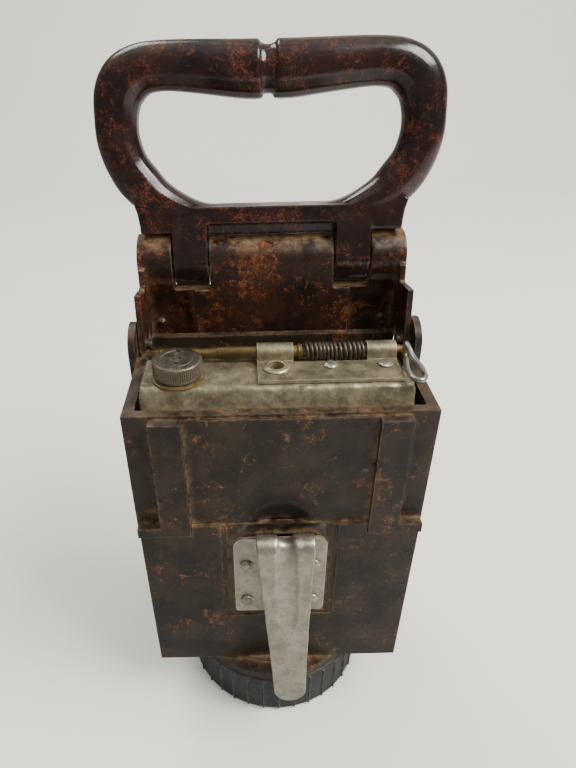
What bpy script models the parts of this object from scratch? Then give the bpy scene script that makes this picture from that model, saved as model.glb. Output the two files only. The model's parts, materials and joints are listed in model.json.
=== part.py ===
"""Carbide lamp with a two-part Bakelite housing, a tilting lid and a carrying loop.

Frame: metres, +Z up, origin at the centre of the base cap's underside.
-Y is the side with the belt hook, +Y the side with the light window.
The lid is modelled open, leaning back past upright.
"""
import math

import bmesh
import bpy
from mathutils import Matrix, Vector

MM = 0.001
GAP = 0.3 * MM

# Housing
UPPER_HALF_X = 52.4 * MM
LOWER_HALF_X = 51.2 * MM
LOWER_FOOT_HALF_X = 50.7 * MM
HOOK_SIDE_Y = -31.4 * MM
RIM_SIDE_Y = -28.0 * MM
PANEL_Y = -29.6 * MM
RIB_Y = -32.2 * MM
LIGHT_SIDE_Y = 28.0 * MM
FOOT_Z = 24.0 * MM
SEAM_Z = 99.0 * MM
RIM_Z = 150.0 * MM
ROOF_Z = 146.0 * MM
REAR_RIM_Z = 152.0 * MM
BAY_FLOOR_Z = 107.0 * MM
BAY_HALF_X = 48.5 * MM
BAY_Y = (-24.3 * MM, -0.5 * MM)
LIGHT_ROOM_Y = (2.5 * MM, 24.5 * MM)
LIGHT_FLOOR_Z = 104.0 * MM
RIB_X = (32.4 * MM, 43.2 * MM)
RIB_TOP_Z = 149.0 * MM
LEDGE_TOP_Z = 103.0 * MM
TONGUE_TOP_Z = 103.0 * MM
STAND_OFF = 3.8 * MM
SCREW_XY = (45.4 * MM, -25.6 * MM, 23.0 * MM)

# Base
CAP_R = 40.5 * MM
CAP_TOP_Z = 22.0 * MM
CAP_FLOOR_Z = 5.0 * MM
NECK_R = 34.0 * MM
NECK_FOOT_Z = 8.0 * MM - STAND_OFF
BORE_R = 24.2 * MM
FIN_COUNT = 36

# Lid and handle
HINGE = Vector((0, 17.0 * MM, 153.0 * MM))
LID_LEAN = math.radians(8)
LID_HALF_X = 52.0 * MM
LID_WALL = 2.5 * MM
EAR_R = 9.0 * MM
BARREL_U = 28.0 * MM
BARREL_W = 22.5 * MM
BARREL_R = 9.0 * MM
KNUCKLE_R = 10.3 * MM
LUG_X = (24.8 * MM, 38.2 * MM)
SLOT_X = (24.3 * MM, 38.9 * MM)
SLOT_U = 17.2 * MM
HANDLE_PIN_R = 3.0 * MM

# Water tank and its fittings
TANK_X = (-46.5 * MM, 42.5 * MM)
TANK_Y = (-23.6 * MM, -1.2 * MM)
TANK_TOP_Z = 156.4 * MM
SHEET = 0.8 * MM
KNOB_XY = (-34.0 * MM, -13.9 * MM)
KNOB_R = 8.5 * MM
KNOB_TOP_Z = 163.7 * MM
BOLT_Y = -3.5 * MM
BOLT_Z = 159.6 * MM
BOLT_R = 2.2 * MM
BOLT_TIP_X = -49.2 * MM
COLLAR_X = (7.2 * MM, 8.8 * MM)
BRACKET_X = (-7.0 * MM, 41.0 * MM)
WINDOW_X = (5.6 * MM, 31.3 * MM)
EYELET_XY = (-0.6 * MM, -11.4 * MM)
RIVET_X = (18.0 * MM, 37.0 * MM)
RIVET_Y = -10.8 * MM
RING_X = 45.2 * MM

# Light side
DOOR_HALF_X = 33.0 * MM
DOOR_Z = (102.0 * MM, 144.6 * MM)
DOOR_Y = (28.4 * MM, 32.4 * MM)
PANE_HALF_X = 24.0 * MM
PANE_Z = (108.0 * MM, 139.0 * MM)
DOOR_PIN = Vector((36.2 * MM, 30.4 * MM, 0))
FLAP_PIN = Vector((0, 35.4 * MM, 104.6 * MM))
BUTTON_PIN = Vector((-35.7 * MM, 32.8 * MM, 124.0 * MM))


# ---------------------------------------------------------------- mesh helpers

def clear_scene():
    for thing in list(bpy.data.objects):
        bpy.data.objects.remove(thing, do_unlink=True)


def raw(bm):
    """A bare object from a bmesh, at the origin, with its faces turned outwards."""
    bmesh.ops.recalc_face_normals(bm, faces=bm.faces)
    mesh = bpy.data.meshes.new("raw")
    bm.to_mesh(mesh)
    bm.free()
    thing = bpy.data.objects.new("raw", mesh)
    bpy.context.scene.collection.objects.link(thing)
    return thing


def combine(target, tool, operation):
    """Boolean of target with tool, worked into target's mesh; the tool is used up."""
    modifier = target.modifiers.new("combine", "BOOLEAN")
    modifier.operation = operation
    modifier.solver = "EXACT"
    modifier.object = tool
    bpy.context.view_layer.update()
    graph = bpy.context.evaluated_depsgraph_get()
    mesh = bpy.data.meshes.new_from_object(target.evaluated_get(graph))
    target.modifiers.clear()
    target.data = mesh
    bpy.data.objects.remove(tool, do_unlink=True)
    return target


def cut(target, *tools):
    for tool in tools:
        combine(target, tool, "DIFFERENCE")
    return target


def unite(target, *tools):
    for tool in tools:
        combine(target, tool, "UNION")
    return target


def prism(outline, axis, low, high):
    """Solid with a flat outline in the plane across an axis (0, 1 or 2), from low to high.

    The outline's two numbers run along the other two axes in X, Y, Z order.
    """
    bm = bmesh.new()
    rows = []
    for level in (low, high):
        row = []
        for pair in outline:
            place = list(pair)
            place.insert(axis, level)
            row.append(bm.verts.new(place))
        rows.append(row)
    bm.faces.new(rows[0])
    bm.faces.new(rows[1])
    count = len(outline)
    for i in range(count):
        j = (i + 1) % count
        bm.faces.new((rows[0][i], rows[0][j], rows[1][j], rows[1][i]))
    return raw(bm)


def box(x, y, z):
    outline = [(x[0], y[0]), (x[1], y[0]), (x[1], y[1]), (x[0], y[1])]
    return prism(outline, 2, z[0], z[1])


def arc(centre, radius, start, end, steps):
    """Points on a circle from start to end, in degrees, both ends kept."""
    points = []
    for i in range(steps + 1):
        angle = math.radians(start + (end - start) * i / steps)
        points.append((centre[0] + radius * math.cos(angle), centre[1] + radius * math.sin(angle)))
    return points


def disc(centre, radius, axis, low, high, steps=24):
    """Cylinder along an axis; the centre's two numbers are the other two axes."""
    outline = arc(centre, radius, 0, 360, steps)[:-1]
    return prism(outline, axis, low, high)


def turned(profile, centre=(0, 0), steps=32):
    """Body of revolution about a vertical axis; the closed profile is (radius, height)."""
    bm = bmesh.new()
    columns = []
    for i in range(steps):
        angle = 2 * math.pi * i / steps
        column = []
        for radius, height in profile:
            place = (centre[0] + radius * math.cos(angle), centre[1] + radius * math.sin(angle), height)
            column.append(bm.verts.new(place))
        columns.append(column)
    count = len(profile)
    for i in range(steps):
        here, beside = columns[i], columns[(i + 1) % steps]
        for j in range(count):
            k = (j + 1) % count
            if profile[j][0] > 0 or profile[k][0] > 0:
                bm.faces.new((here[j], beside[j], beside[k], here[k]))
    bmesh.ops.remove_doubles(bm, verts=bm.verts, dist=1e-7)
    return raw(bm)


def finned(centre, inner, outer, count, low, high, share=0.5):
    """Cylinder with raised upright fins, as on a knurled knob or a screw cap."""
    outline = []
    for i in range(count):
        for radius, part in ((inner, 0.0), (inner, 1 - share), (outer, 1.04 - share), (outer, 0.96)):
            angle = 2 * math.pi * (i + part) / count
            outline.append((centre[0] + radius * math.cos(angle), centre[1] + radius * math.sin(angle)))
    return prism(outline, 2, low, high)


def swept(path, sections, closed):
    """Skin through cross-sections: each is a list of offsets along two directions at its path point."""
    bm = bmesh.new()
    rings = []
    for place, (side, lift, offsets) in zip(path, sections):
        rings.append([bm.verts.new(place + side * a + lift * b) for a, b in offsets])
    last = len(rings) if closed else len(rings) - 1
    for i in range(last):
        here, ahead = rings[i], rings[(i + 1) % len(rings)]
        count = len(here)
        for j in range(count):
            k = (j + 1) % count
            bm.faces.new((here[j], here[k], ahead[k], ahead[j]))
    if not closed:
        bm.faces.new(rings[0])
        bm.faces.new(rings[-1])
    return raw(bm)


def wire(path, radius, sides, closed=False):
    """Round wire along a path of points."""
    count = len(path)
    offsets = arc((0, 0), radius, 0, 360, sides)[:-1]
    sections = []
    side = None
    for i in range(count):
        back = path[(i - 1) % count] if closed or i else path[i]
        ahead = path[(i + 1) % count] if closed or i < count - 1 else path[i]
        along = (ahead - back).normalized()
        if side is None:
            guess = Vector((0, 0, 1)) if abs(along.z) < 0.8 else Vector((0, 1, 0))
            side = along.cross(guess).normalized()
        side = (side - along * side.dot(along)).normalized()
        sections.append((side, along.cross(side), offsets))
    return swept(path, sections, closed)


def finish(name, thing, material, origin=(0, 0, 0), parent=None):
    """Names the piece, gives it its material and puts its origin where its joint wants it."""
    origin = Vector(origin)
    thing.data.transform(Matrix.Translation(-origin))
    thing.location = origin
    thing.name = name
    thing.data.name = name
    if parent:
        thing.parent = parent
    thing.data.materials.clear()
    thing.data.materials.append(material)
    thing.data.shade_smooth()
    thing.data.set_sharp_from_angle(angle=math.radians(32))
    return thing


def material(name, colour, roughness, metallic):
    made = bpy.data.materials.new(name)
    made.use_nodes = True
    shader = made.node_tree.nodes["Principled BSDF"]
    shader.inputs["Base Color"].default_value = (*colour, 1)
    shader.inputs["Roughness"].default_value = roughness
    shader.inputs["Metallic"].default_value = metallic
    return made


# ---------------------------------------------------------------- housing

def finger_scoop():
    """Ball that hollows the wall above the belt hook's fold."""
    radius = 18.4 * MM
    profile = [(radius * math.cos(angle), radius * math.sin(angle))
               for angle in (math.radians(-90 + 15 * i) for i in range(13))]
    scoop = turned(profile, (0, 0), 32)
    scoop.data.transform(Matrix.Translation((MM, -43 * MM, 101 * MM)))
    return scoop


def upper_housing(bakelite):
    """Tank bay in front, burner room behind it, with the hinge ears on both sides."""
    rib_in, rib_out = RIB_X
    half = UPPER_HALF_X
    plan = [(-half, LIGHT_SIDE_Y), (-half, RIM_SIDE_Y), (-rib_out, RIM_SIDE_Y), (-rib_out, RIB_Y),
            (-rib_in, RIB_Y), (-rib_in, PANEL_Y), (rib_in, PANEL_Y), (rib_in, RIB_Y),
            (rib_out, RIB_Y), (rib_out, RIM_SIDE_Y), (half, RIM_SIDE_Y), (half, LIGHT_SIDE_Y)]
    body = prism(plan, 2, SEAM_Z, RIM_Z)
    cut(body, box((-half - 5 * MM, half + 5 * MM), (RIB_Y - 5 * MM, RIM_SIDE_Y), (RIB_TOP_Z, RIM_Z + MM)))
    ear_y, ear_z = HINGE.y, HINGE.z
    for side in (-1, 1):
        ledge = sorted((side * (rib_out - MM), side * (half - 0.6 * MM)))
        unite(body, box(ledge, (RIB_Y, RIM_SIDE_Y + 3 * MM), (SEAM_Z, LEDGE_TOP_Z)))
        ear = arc((ear_y, ear_z), EAR_R, 0, 180, 10)
        ear += [(ear_y - EAR_R, ear_z - 16 * MM), (ear_y, ear_z - 22 * MM), (ear_y + EAR_R, ear_z - 16 * MM)]
        unite(body, prism(ear, 0, *sorted((side * 50 * MM, side * 55 * MM))))
    cut(body, box((-half, half), (5 * MM, 60 * MM), (RIM_Z, 180 * MM)))
    cut(body, box((-half, half), (12 * MM, 60 * MM), (ROOF_Z, 180 * MM)))
    cut(body, box((-BAY_HALF_X, BAY_HALF_X), (-5 * MM, 60 * MM), (ROOF_Z, 180 * MM)))
    unite(body, box((-BAY_HALF_X, BAY_HALF_X), (LIGHT_SIDE_Y - 3.5 * MM, LIGHT_SIDE_Y),
                    (ROOF_Z - 5 * MM, REAR_RIM_Z)))
    cut(body, box((-BAY_HALF_X, BAY_HALF_X), BAY_Y, (BAY_FLOOR_Z, RIM_Z + MM)))
    cut(body, box((-40 * MM, 40 * MM), LIGHT_ROOM_Y, (LIGHT_FLOOR_Z, ROOF_Z - 3 * MM)))
    cut(body, box((-26 * MM, 26 * MM), (20 * MM, 30 * MM), (106 * MM, 141 * MM)))
    cut(body, box((-18 * MM, 18 * MM), (8 * MM, 19 * MM), (ROOF_Z - 5 * MM, ROOF_Z + MM)))
    cut(body, box((-rib_in, rib_in), (RIB_Y - 5 * MM, -27.6 * MM), (SEAM_Z - MM, TONGUE_TOP_Z + GAP)))
    cut(body, finger_scoop())
    for side in (-1, 1):
        for y in (8 * MM, 14 * MM, 20 * MM):
            cut(body, disc((y, 112 * MM), 1.8 * MM, 0, *sorted((side * 38 * MM, side * 57 * MM)), 8))
        cut(body, disc((ear_y, ear_z), 2.3 * MM, 0, *sorted((side * 46 * MM, side * 57 * MM)), 16))
        for y in SCREW_XY[1:]:
            cut(body, disc((side * SCREW_XY[0], y), 1.8 * MM, 2, SEAM_Z - MM, SEAM_Z + 6 * MM, 8))
    cut(body, disc((0, 13 * MM), 2.8 * MM, 2, SEAM_Z - MM, LIGHT_FLOOR_Z + MM, 16))
    cut(body, disc((-10 * MM, KNOB_XY[1]), 2.3 * MM, 2, SEAM_Z - MM, BAY_FLOOR_Z + MM, 16))
    cut(body, box((-37 * MM, -8 * MM), (KNOB_XY[1] - 2.3 * MM, KNOB_XY[1] + 2.3 * MM),
                  (BAY_FLOOR_Z - 3.2 * MM, BAY_FLOOR_Z + MM)))
    return finish("upper_housing", body, bakelite)


def lower_housing(bakelite):
    """Generator half: round bore with the neck below it, and a hollow on each side."""
    body = box((-LOWER_HALF_X, LOWER_HALF_X), (HOOK_SIDE_Y, LIGHT_SIDE_Y), (FOOT_Z, SEAM_Z - GAP))
    for vertex in body.data.vertices:
        if vertex.co.z < FOOT_Z + MM:
            vertex.co.x *= LOWER_FOOT_HALF_X / LOWER_HALF_X
    tongue = RIB_X[0] - GAP
    unite(body, box((-tongue, tongue), (HOOK_SIDE_Y, -27.9 * MM), (SEAM_Z - MM, TONGUE_TOP_Z)))
    cut(body, finger_scoop())
    unite(body, disc((0, 0), NECK_R, 2, NECK_FOOT_Z, FOOT_Z + 0.4 * MM, 36))
    cut(body, disc((0, 0), BORE_R, 2, NECK_FOOT_Z - MM, SEAM_Z, 28))
    cut(body, disc((0, 0), 27.1 * MM, 2, SEAM_Z - 2.4 * MM, SEAM_Z + MM, 28))
    cut(body, box((-19.5 * MM, 19.5 * MM), (HOOK_SIDE_Y - 3 * MM, HOOK_SIDE_Y + MM),
                  (54 * MM, TONGUE_TOP_Z + MM)))
    for side in (-1, 1):
        pocket = [(side * 28.5 * MM, -27.6 * MM), (side * 38.5 * MM, -27.6 * MM),
                  (side * 47.6 * MM, -18.5 * MM), (side * 47.6 * MM, 15.5 * MM),
                  (side * 38.5 * MM, 24.4 * MM), (side * 28.5 * MM, 24.4 * MM)]
        cut(body, prism(pocket, 2, FOOT_Z + 4 * MM, SEAM_Z))
        for y in SCREW_XY[1:]:
            cut(body, disc((side * SCREW_XY[0], y), 1.8 * MM, 2, FOOT_Z - MM, SEAM_Z, 8))
            cut(body, disc((side * SCREW_XY[0], y), 3.7 * MM, 2, FOOT_Z - MM, FOOT_Z + 2.6 * MM, 12))
        for z in (63 * MM, 83 * MM):
            cut(body, disc((side * 13 * MM, z), 1.6 * MM, 1, HOOK_SIDE_Y - MM, HOOK_SIDE_Y + 4.5 * MM, 12))
    return finish("lower_housing", body, bakelite)


def housing_screws(steel):
    """Four long screws from below hold the two halves together."""
    number = 0
    for side in (-1, 1):
        for y in SCREW_XY[1:]:
            number += 1
            profile = [(0, FOOT_Z + 0.2 * MM), (3.2 * MM, FOOT_Z + 0.2 * MM), (3.2 * MM, FOOT_Z + 2.3 * MM),
                       (1.5 * MM, FOOT_Z + 2.3 * MM), (1.5 * MM, SEAM_Z + 5.4 * MM), (0, SEAM_Z + 5.7 * MM)]
            screw = turned(profile, (side * SCREW_XY[0], y), 12)
            x = side * SCREW_XY[0]
            cut(screw, box((x - 4 * MM, x + 4 * MM), (y - 0.5 * MM, y + 0.5 * MM),
                           (FOOT_Z - MM, FOOT_Z + 1.2 * MM)))
            finish("housing_screw_%d" % number, screw, steel)


# ---------------------------------------------------------------- base and generator

def base_parts(black, steel, rubber):
    """Screw cap, its gasket and the spring that presses the carbide tin upwards."""
    cap = finned((0, 0), CAP_R - 0.9 * MM, CAP_R, FIN_COUNT, 0, CAP_TOP_Z, 0.24)
    cut(cap, disc((0, 0), NECK_R + 0.4 * MM, 2, CAP_FLOOR_Z, CAP_TOP_Z + MM, 36))
    finish("base_cap", cap, black)

    profile = [(25.4 * MM, 5.3 * MM), (33.4 * MM, 5.3 * MM), (33.4 * MM, 7.6 * MM), (25.4 * MM, 7.6 * MM)]
    finish("base_gasket", turned(profile, (0, 0), 28), rubber)

    turns, points = 3.0, 12
    path = []
    for i in range(int(turns * points) + 1):
        angle = 2 * math.pi * i / points
        path.append(Vector((15 * MM * math.cos(angle), 15 * MM * math.sin(angle),
                            6.4 * MM + 8.6 * MM * i / (turns * points))))
    finish("container_spring", wire(path, MM, 5), steel)


def carbide_tin(zinc):
    """The tin for the carbide, with its perforated cover standing a little way inside."""
    outer, inner = 22.8 * MM, 22.0 * MM
    profile = [(0, 12.7 * MM), (outer, 12.7 * MM), (outer, 78 * MM), (inner, 78 * MM),
               (inner, 13.5 * MM), (0, 13.5 * MM)]
    finish("carbide_container", turned(profile, (0, 0), 24), zinc)
    cover = turned([(0, 73 * MM), (21.7 * MM, 73 * MM), (21.7 * MM, 76.6 * MM), (20.9 * MM, 76.6 * MM),
                    (20.9 * MM, 73.8 * MM), (0, 73.8 * MM)], (0, 0), 24)
    for i in range(6):
        angle = 2 * math.pi * (i + 0.13) / 6
        centre = (12 * MM * math.cos(angle), 12 * MM * math.sin(angle))
        cut(cover, disc(centre, 2 * MM, 2, 70 * MM, 80 * MM, 6))
    finish("container_cover", cover, zinc)


def gas_parts(brass, ceramic, rubber, zinc):
    """Seal between the halves, the drip tube, and the gas way up to the forked burner."""
    profile = [(24.6 * MM, 96.9 * MM), (26.7 * MM, 96.9 * MM), (26.7 * MM, 98.7 * MM), (24.6 * MM, 98.7 * MM)]
    finish("generator_gasket", turned(profile, (0, 0), 28), rubber)
    tubes = [("drip_tube", (-10 * MM, KNOB_XY[1]), 86 * MM, 103.4 * MM, 2.0 * MM),
             ("gas_pipe", (0, 13 * MM), 90 * MM, 109.7 * MM, 2.5 * MM)]
    for name, centre, low, high, outer in tubes:
        bore = outer - 0.8 * MM
        tube = turned([(bore, low), (outer, low), (outer, high), (bore, high)], centre, 16)
        finish(name, tube, brass)
    socket = [(1.2 * MM, 110 * MM), (4.2 * MM, 110 * MM), (4.2 * MM, 114.5 * MM), (3.2 * MM, 116 * MM),
              (1.2 * MM, 116 * MM)]
    finish("burner_socket", turned(socket, (0, 13 * MM), 16), brass)
    tip = disc((0, 13 * MM), 2.4 * MM, 2, 116.3 * MM, 119.5 * MM, 12)
    for side in (-1, 1):
        path = [Vector((0, 13 * MM, 118.6 * MM)), Vector((side * 7 * MM, 13 * MM, 125 * MM))]
        unite(tip, wire(path, 1.7 * MM, 10))
    finish("burner_tip", tip, ceramic)
    back = [(-30 * MM, 3.6 * MM), (30 * MM, 3.6 * MM), (37 * MM, 12 * MM), (36.3 * MM, 12.6 * MM),
            (29.6 * MM, 4.5 * MM), (-29.6 * MM, 4.5 * MM), (-36.3 * MM, 12.6 * MM), (-37 * MM, 12 * MM)]
    finish("reflector", prism(back, 2, LIGHT_FLOOR_Z + GAP, 141 * MM), zinc)


# ---------------------------------------------------------------- lid and handle
# Drawn upright in the lid's own frame: X across, Y outwards (w), Z from the hinge
# to the free end (u). The hinge axis runs along X through the frame's origin.

def lid(bakelite, parent):
    barrel = (BARREL_W, BARREL_U)
    half = LID_HALF_X
    step_w, step_u = 10.6 * MM, 19.9 * MM
    side = [(-2.7 * MM, -3 * MM), (17 * MM, -3 * MM), (18.6 * MM, -4.2 * MM), (22 * MM, -4.2 * MM),
            (22 * MM, 15 * MM), (23.2 * MM, 18 * MM)]
    side += arc(barrel, BARREL_R, -45, 180, 16)
    side += [(step_w, 26 * MM), (step_w, step_u), (-2.7 * MM, step_u)]
    body = prism(side, 0, -half, half)
    ceiling = 19 * MM
    meet = math.degrees(math.acos((BARREL_W - ceiling) / BARREL_R))
    hollow = [(-5 * MM, 50 * MM), (-5 * MM, -6 * MM), (ceiling, -6 * MM), (ceiling, 6 * MM),
              (18.2 * MM, 11 * MM), (16.4 * MM, 15.5 * MM), (13.9 * MM, 20 * MM)]
    hollow += arc(barrel, BARREL_R, 190, 180 - meet, 8)
    hollow += [(ceiling, 50 * MM)]
    inside = half - LID_WALL
    cut(body, prism(hollow, 0, -inside, inside))
    pad = [(13.6 * MM, 26 * MM), (13.9 * MM, 18 * MM), (14.6 * MM, 8 * MM), (15.2 * MM, -2 * MM),
           (20.5 * MM, -2 * MM), (20.5 * MM, 26 * MM)]
    unite(body, prism(pad, 0, -31 * MM, 31 * MM))
    slot_r = KNUCKLE_R + 0.4 * MM
    slot = [(5 * MM, SLOT_U), (19 * MM, SLOT_U)] + arc(barrel, slot_r, -109, -90, 3)
    slot += [(40 * MM, BARREL_U - slot_r), (40 * MM, 50 * MM), (5 * MM, 50 * MM)]
    for end in (-1, 1):
        unite(body, disc(barrel, KNUCKLE_R, 0, *sorted((end * SLOT_X[1], end * (half + 0.4 * MM))), 24))
        cut(body, prism(slot, 0, *sorted((end * SLOT_X[0], end * SLOT_X[1]))))
        cut(body, disc((0, 0), 2.3 * MM, 0, *sorted((end * 46 * MM, end * 57 * MM)), 16))
        pip = turned([(0, -0.3 * MM), (1.9 * MM, -0.3 * MM), (1.9 * MM, 0.8 * MM), (1.2 * MM, 1.5 * MM),
                      (0, 1.7 * MM)], (0, 0), 12)
        place = Matrix.Translation((end * 45.5 * MM, ceiling, 2.6 * MM))
        pip.data.transform(place @ Matrix.Rotation(math.pi / 2, 4, "X"))
        unite(body, pip)
    cut(body, disc(barrel, HANDLE_PIN_R + GAP, 0, -60 * MM, 60 * MM, 24))
    bolt_w, bolt_u = BOLT_Z - HINGE.z, HINGE.y - BOLT_Y
    cut(body, disc((bolt_w, bolt_u), 1.8 * MM, 0, -56 * MM, -46 * MM, 12))
    return finish("lid", body, bakelite, (0, 0, 0), parent)


def handle_loop():
    """The loop's centre line on its right half, from the grip's middle to the crossbar's middle.

    Each entry is distance across, distance from the lid's hinge, half width and half depth.
    """
    half = [(0.0, 95.3, 7.8, 7.6), (3.4, 95.3, 7.8, 7.6), (5.2, 95.5, 9.2, 9.0), (15.0, 96.0, 8.9, 8.8),
            (28.0, 96.7, 8.2, 8.0), (40.0, 96.3, 8.1, 7.6), (50.0, 93.2, 8.5, 7.4), (55.4, 87.2, 8.6, 7.3),
            (56.1, 78.0, 8.6, 7.2), (53.9, 67.6, 8.6, 7.2), (49.0, 58.4, 8.4, 7.2), (41.0, 51.0, 6.8, 7.0),
            (28.0, 46.9, 4.3, 6.8), (14.0, 45.9, 3.4, 6.6), (0.0, 45.8, 3.3, 6.6)]
    mirrored = [(-x, u, width, depth) for x, u, width, depth in half[-2:0:-1]]
    return [tuple(value * MM for value in entry) for entry in half + mirrored]


def handle(bakelite, parent):
    stations = handle_loop()
    path, sections = [], []
    count = len(stations)
    offsets_unit = [(math.copysign(abs(math.cos(a)) ** 0.85, math.cos(a)),
                     math.copysign(abs(math.sin(a)) ** 0.85, math.sin(a)))
                    for a in (2 * math.pi * i / 14 for i in range(14))]
    for i, (x, u, width, depth) in enumerate(stations):
        back, ahead = stations[i - 1], stations[(i + 1) % count]
        along = Vector((ahead[0] - back[0], 0, ahead[1] - back[1])).normalized()
        side = Vector((along.z, 0, -along.x))
        path.append(Vector((x, BARREL_W, u)))
        sections.append((side, Vector((0, 1, 0)), [(a * width, b * depth) for a, b in offsets_unit]))
    body = swept(path, sections, True)
    lug = arc((BARREL_W, BARREL_U), 10.2 * MM, 180, 360, 10)
    lug += [(BARREL_W + 6.2 * MM, 46.3 * MM), (BARREL_W - 6.2 * MM, 46.3 * MM)]
    for end in (-1, 1):
        unite(body, prism(lug, 0, *sorted((end * LUG_X[0], end * LUG_X[1]))))
        shoulder = [(end * 31 * MM, 39.8 * MM), (end * 50.2 * MM, 39.8 * MM), (end * 53.4 * MM, 48.2 * MM),
                    (end * 47.3 * MM, 53.1 * MM), (end * 33.7 * MM, 49.3 * MM)]
        unite(body, prism(shoulder, 1, BARREL_W - 6.85 * MM, BARREL_W + 6.95 * MM))
    web = arc((BARREL_W, BARREL_U), BARREL_R + 0.6 * MM, 100, 30, 8)
    web += [(33.4 * MM, 34.3 * MM), (28.2 * MM, 45.3 * MM), (19.6 * MM, 45.3 * MM)]
    unite(body, prism(web, 0, -LUG_X[0] - 2 * MM, LUG_X[0] + 2 * MM))
    cut(body, disc((BARREL_W, BARREL_U), HANDLE_PIN_R + GAP, 0, -42 * MM, 42 * MM, 24))
    return finish("handle", body, bakelite, (0, BARREL_W, BARREL_U), parent)


def lid_pins(steel, parent):
    """Two stub pins for the lid, in the ears, and the long pin that carries the handle."""
    for end, name in ((-1, "lid_pin_left"), (1, "lid_pin_right")):
        pin = disc((HINGE.y, HINGE.z), 2.0 * MM, 0, *sorted((end * 47 * MM, end * 54.7 * MM)), 16)
        finish(name, pin, steel)
    pin = disc((BARREL_W, BARREL_U), HANDLE_PIN_R, 0, -52.7 * MM, 52.7 * MM, 24)
    finish("handle_pin", pin, steel, (0, BARREL_W, BARREL_U), parent)


# ---------------------------------------------------------------- water tank

def water_tank(zinc):
    """Sheet tank, open inside, with the vent hole under the eyelet and the valve's hole."""
    x, y, z = TANK_X, TANK_Y, (BAY_FLOOR_Z + GAP, TANK_TOP_Z)
    body = box(x, y, z)
    for vertex in body.data.vertices:
        if vertex.co.z > z[1] - MM and vertex.co.y < y[0] + MM:
            vertex.co.y += 1.6 * MM
    fold = [(y[0] - 0.2 * MM, 152.6 * MM), (y[0] + 0.9 * MM, 155.9 * MM), (y[0] + 3 * MM, 155.4 * MM),
            (y[0] + 3 * MM, 152 * MM)]
    unite(body, prism(fold, 0, x[0] + 0.4 * MM, x[1] - 0.4 * MM))
    cut(body, box((x[0] + SHEET, x[1] - SHEET), (y[0] + 2.6 * MM, y[1] - SHEET),
                  (z[0] + SHEET, z[1] - SHEET)))
    cut(body, disc(EYELET_XY, 3.3 * MM, 2, z[1] - 4 * MM, z[1] + MM, 16))
    cut(body, disc(KNOB_XY, 2.4 * MM, 2, z[1] - 4 * MM, z[1] + MM, 16))
    cut(body, disc(KNOB_XY, 1.3 * MM, 2, z[0] - MM, z[0] + 2 * MM, 12))
    for rivet_x in RIVET_X:
        cut(body, disc((rivet_x, RIVET_Y), 1.6 * MM, 2, z[1] - 4 * MM, z[1] + MM, 12))
    return finish("water_tank", body, zinc)


def bracket_outline():
    """Section across the bracket: flat plate, then an arch over the bolt."""
    low, high = TANK_TOP_Z + GAP, TANK_TOP_Z + 1.5 * MM
    centre = (BOLT_Y, BOLT_Z)
    outline = [(-20 * MM, low), (BOLT_Y - 2.7 * MM, low)]
    outline += arc(centre, 2.6 * MM, 180, -20, 12)
    outline += arc(centre, 3.4 * MM, -20, 170, 12)
    outline += [(BOLT_Y - 3.6 * MM, high), (-20 * MM, high)]
    return outline


def bracket_parts(zinc, light):
    bracket = prism(bracket_outline(), 0, *BRACKET_X)
    cut(bracket, box(WINDOW_X, (-7.4 * MM, 5 * MM), (150 * MM, 170 * MM)))
    cut(bracket, disc(EYELET_XY, 3.3 * MM, 2, 150 * MM, 170 * MM, 16))
    for x in RIVET_X:
        cut(bracket, disc((x, RIVET_Y), 1.6 * MM, 2, 150 * MM, 170 * MM, 12))
    finish("tank_bracket", bracket, zinc)

    top = TANK_TOP_Z + 1.5 * MM
    for number, x in enumerate(RIVET_X, 1):
        profile = [(0, top - 3.4 * MM), (1.3 * MM, top - 3.4 * MM), (1.3 * MM, top + GAP),
                   (2.3 * MM, top + GAP), (2.1 * MM, top + 0.8 * MM), (0, top + 1.1 * MM)]
        finish("bracket_rivet_%d" % number, turned(profile, (x, RIVET_Y), 16), light)
    profile = [(2.6 * MM, top - 3.0 * MM), (3.0 * MM, top - 3.0 * MM), (3.0 * MM, top + GAP),
               (3.8 * MM, top + GAP), (3.7 * MM, top + 0.8 * MM), (2.8 * MM, top + 1.0 * MM)]
    finish("filler_eyelet", turned(profile, EYELET_XY, 20), zinc)


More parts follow.
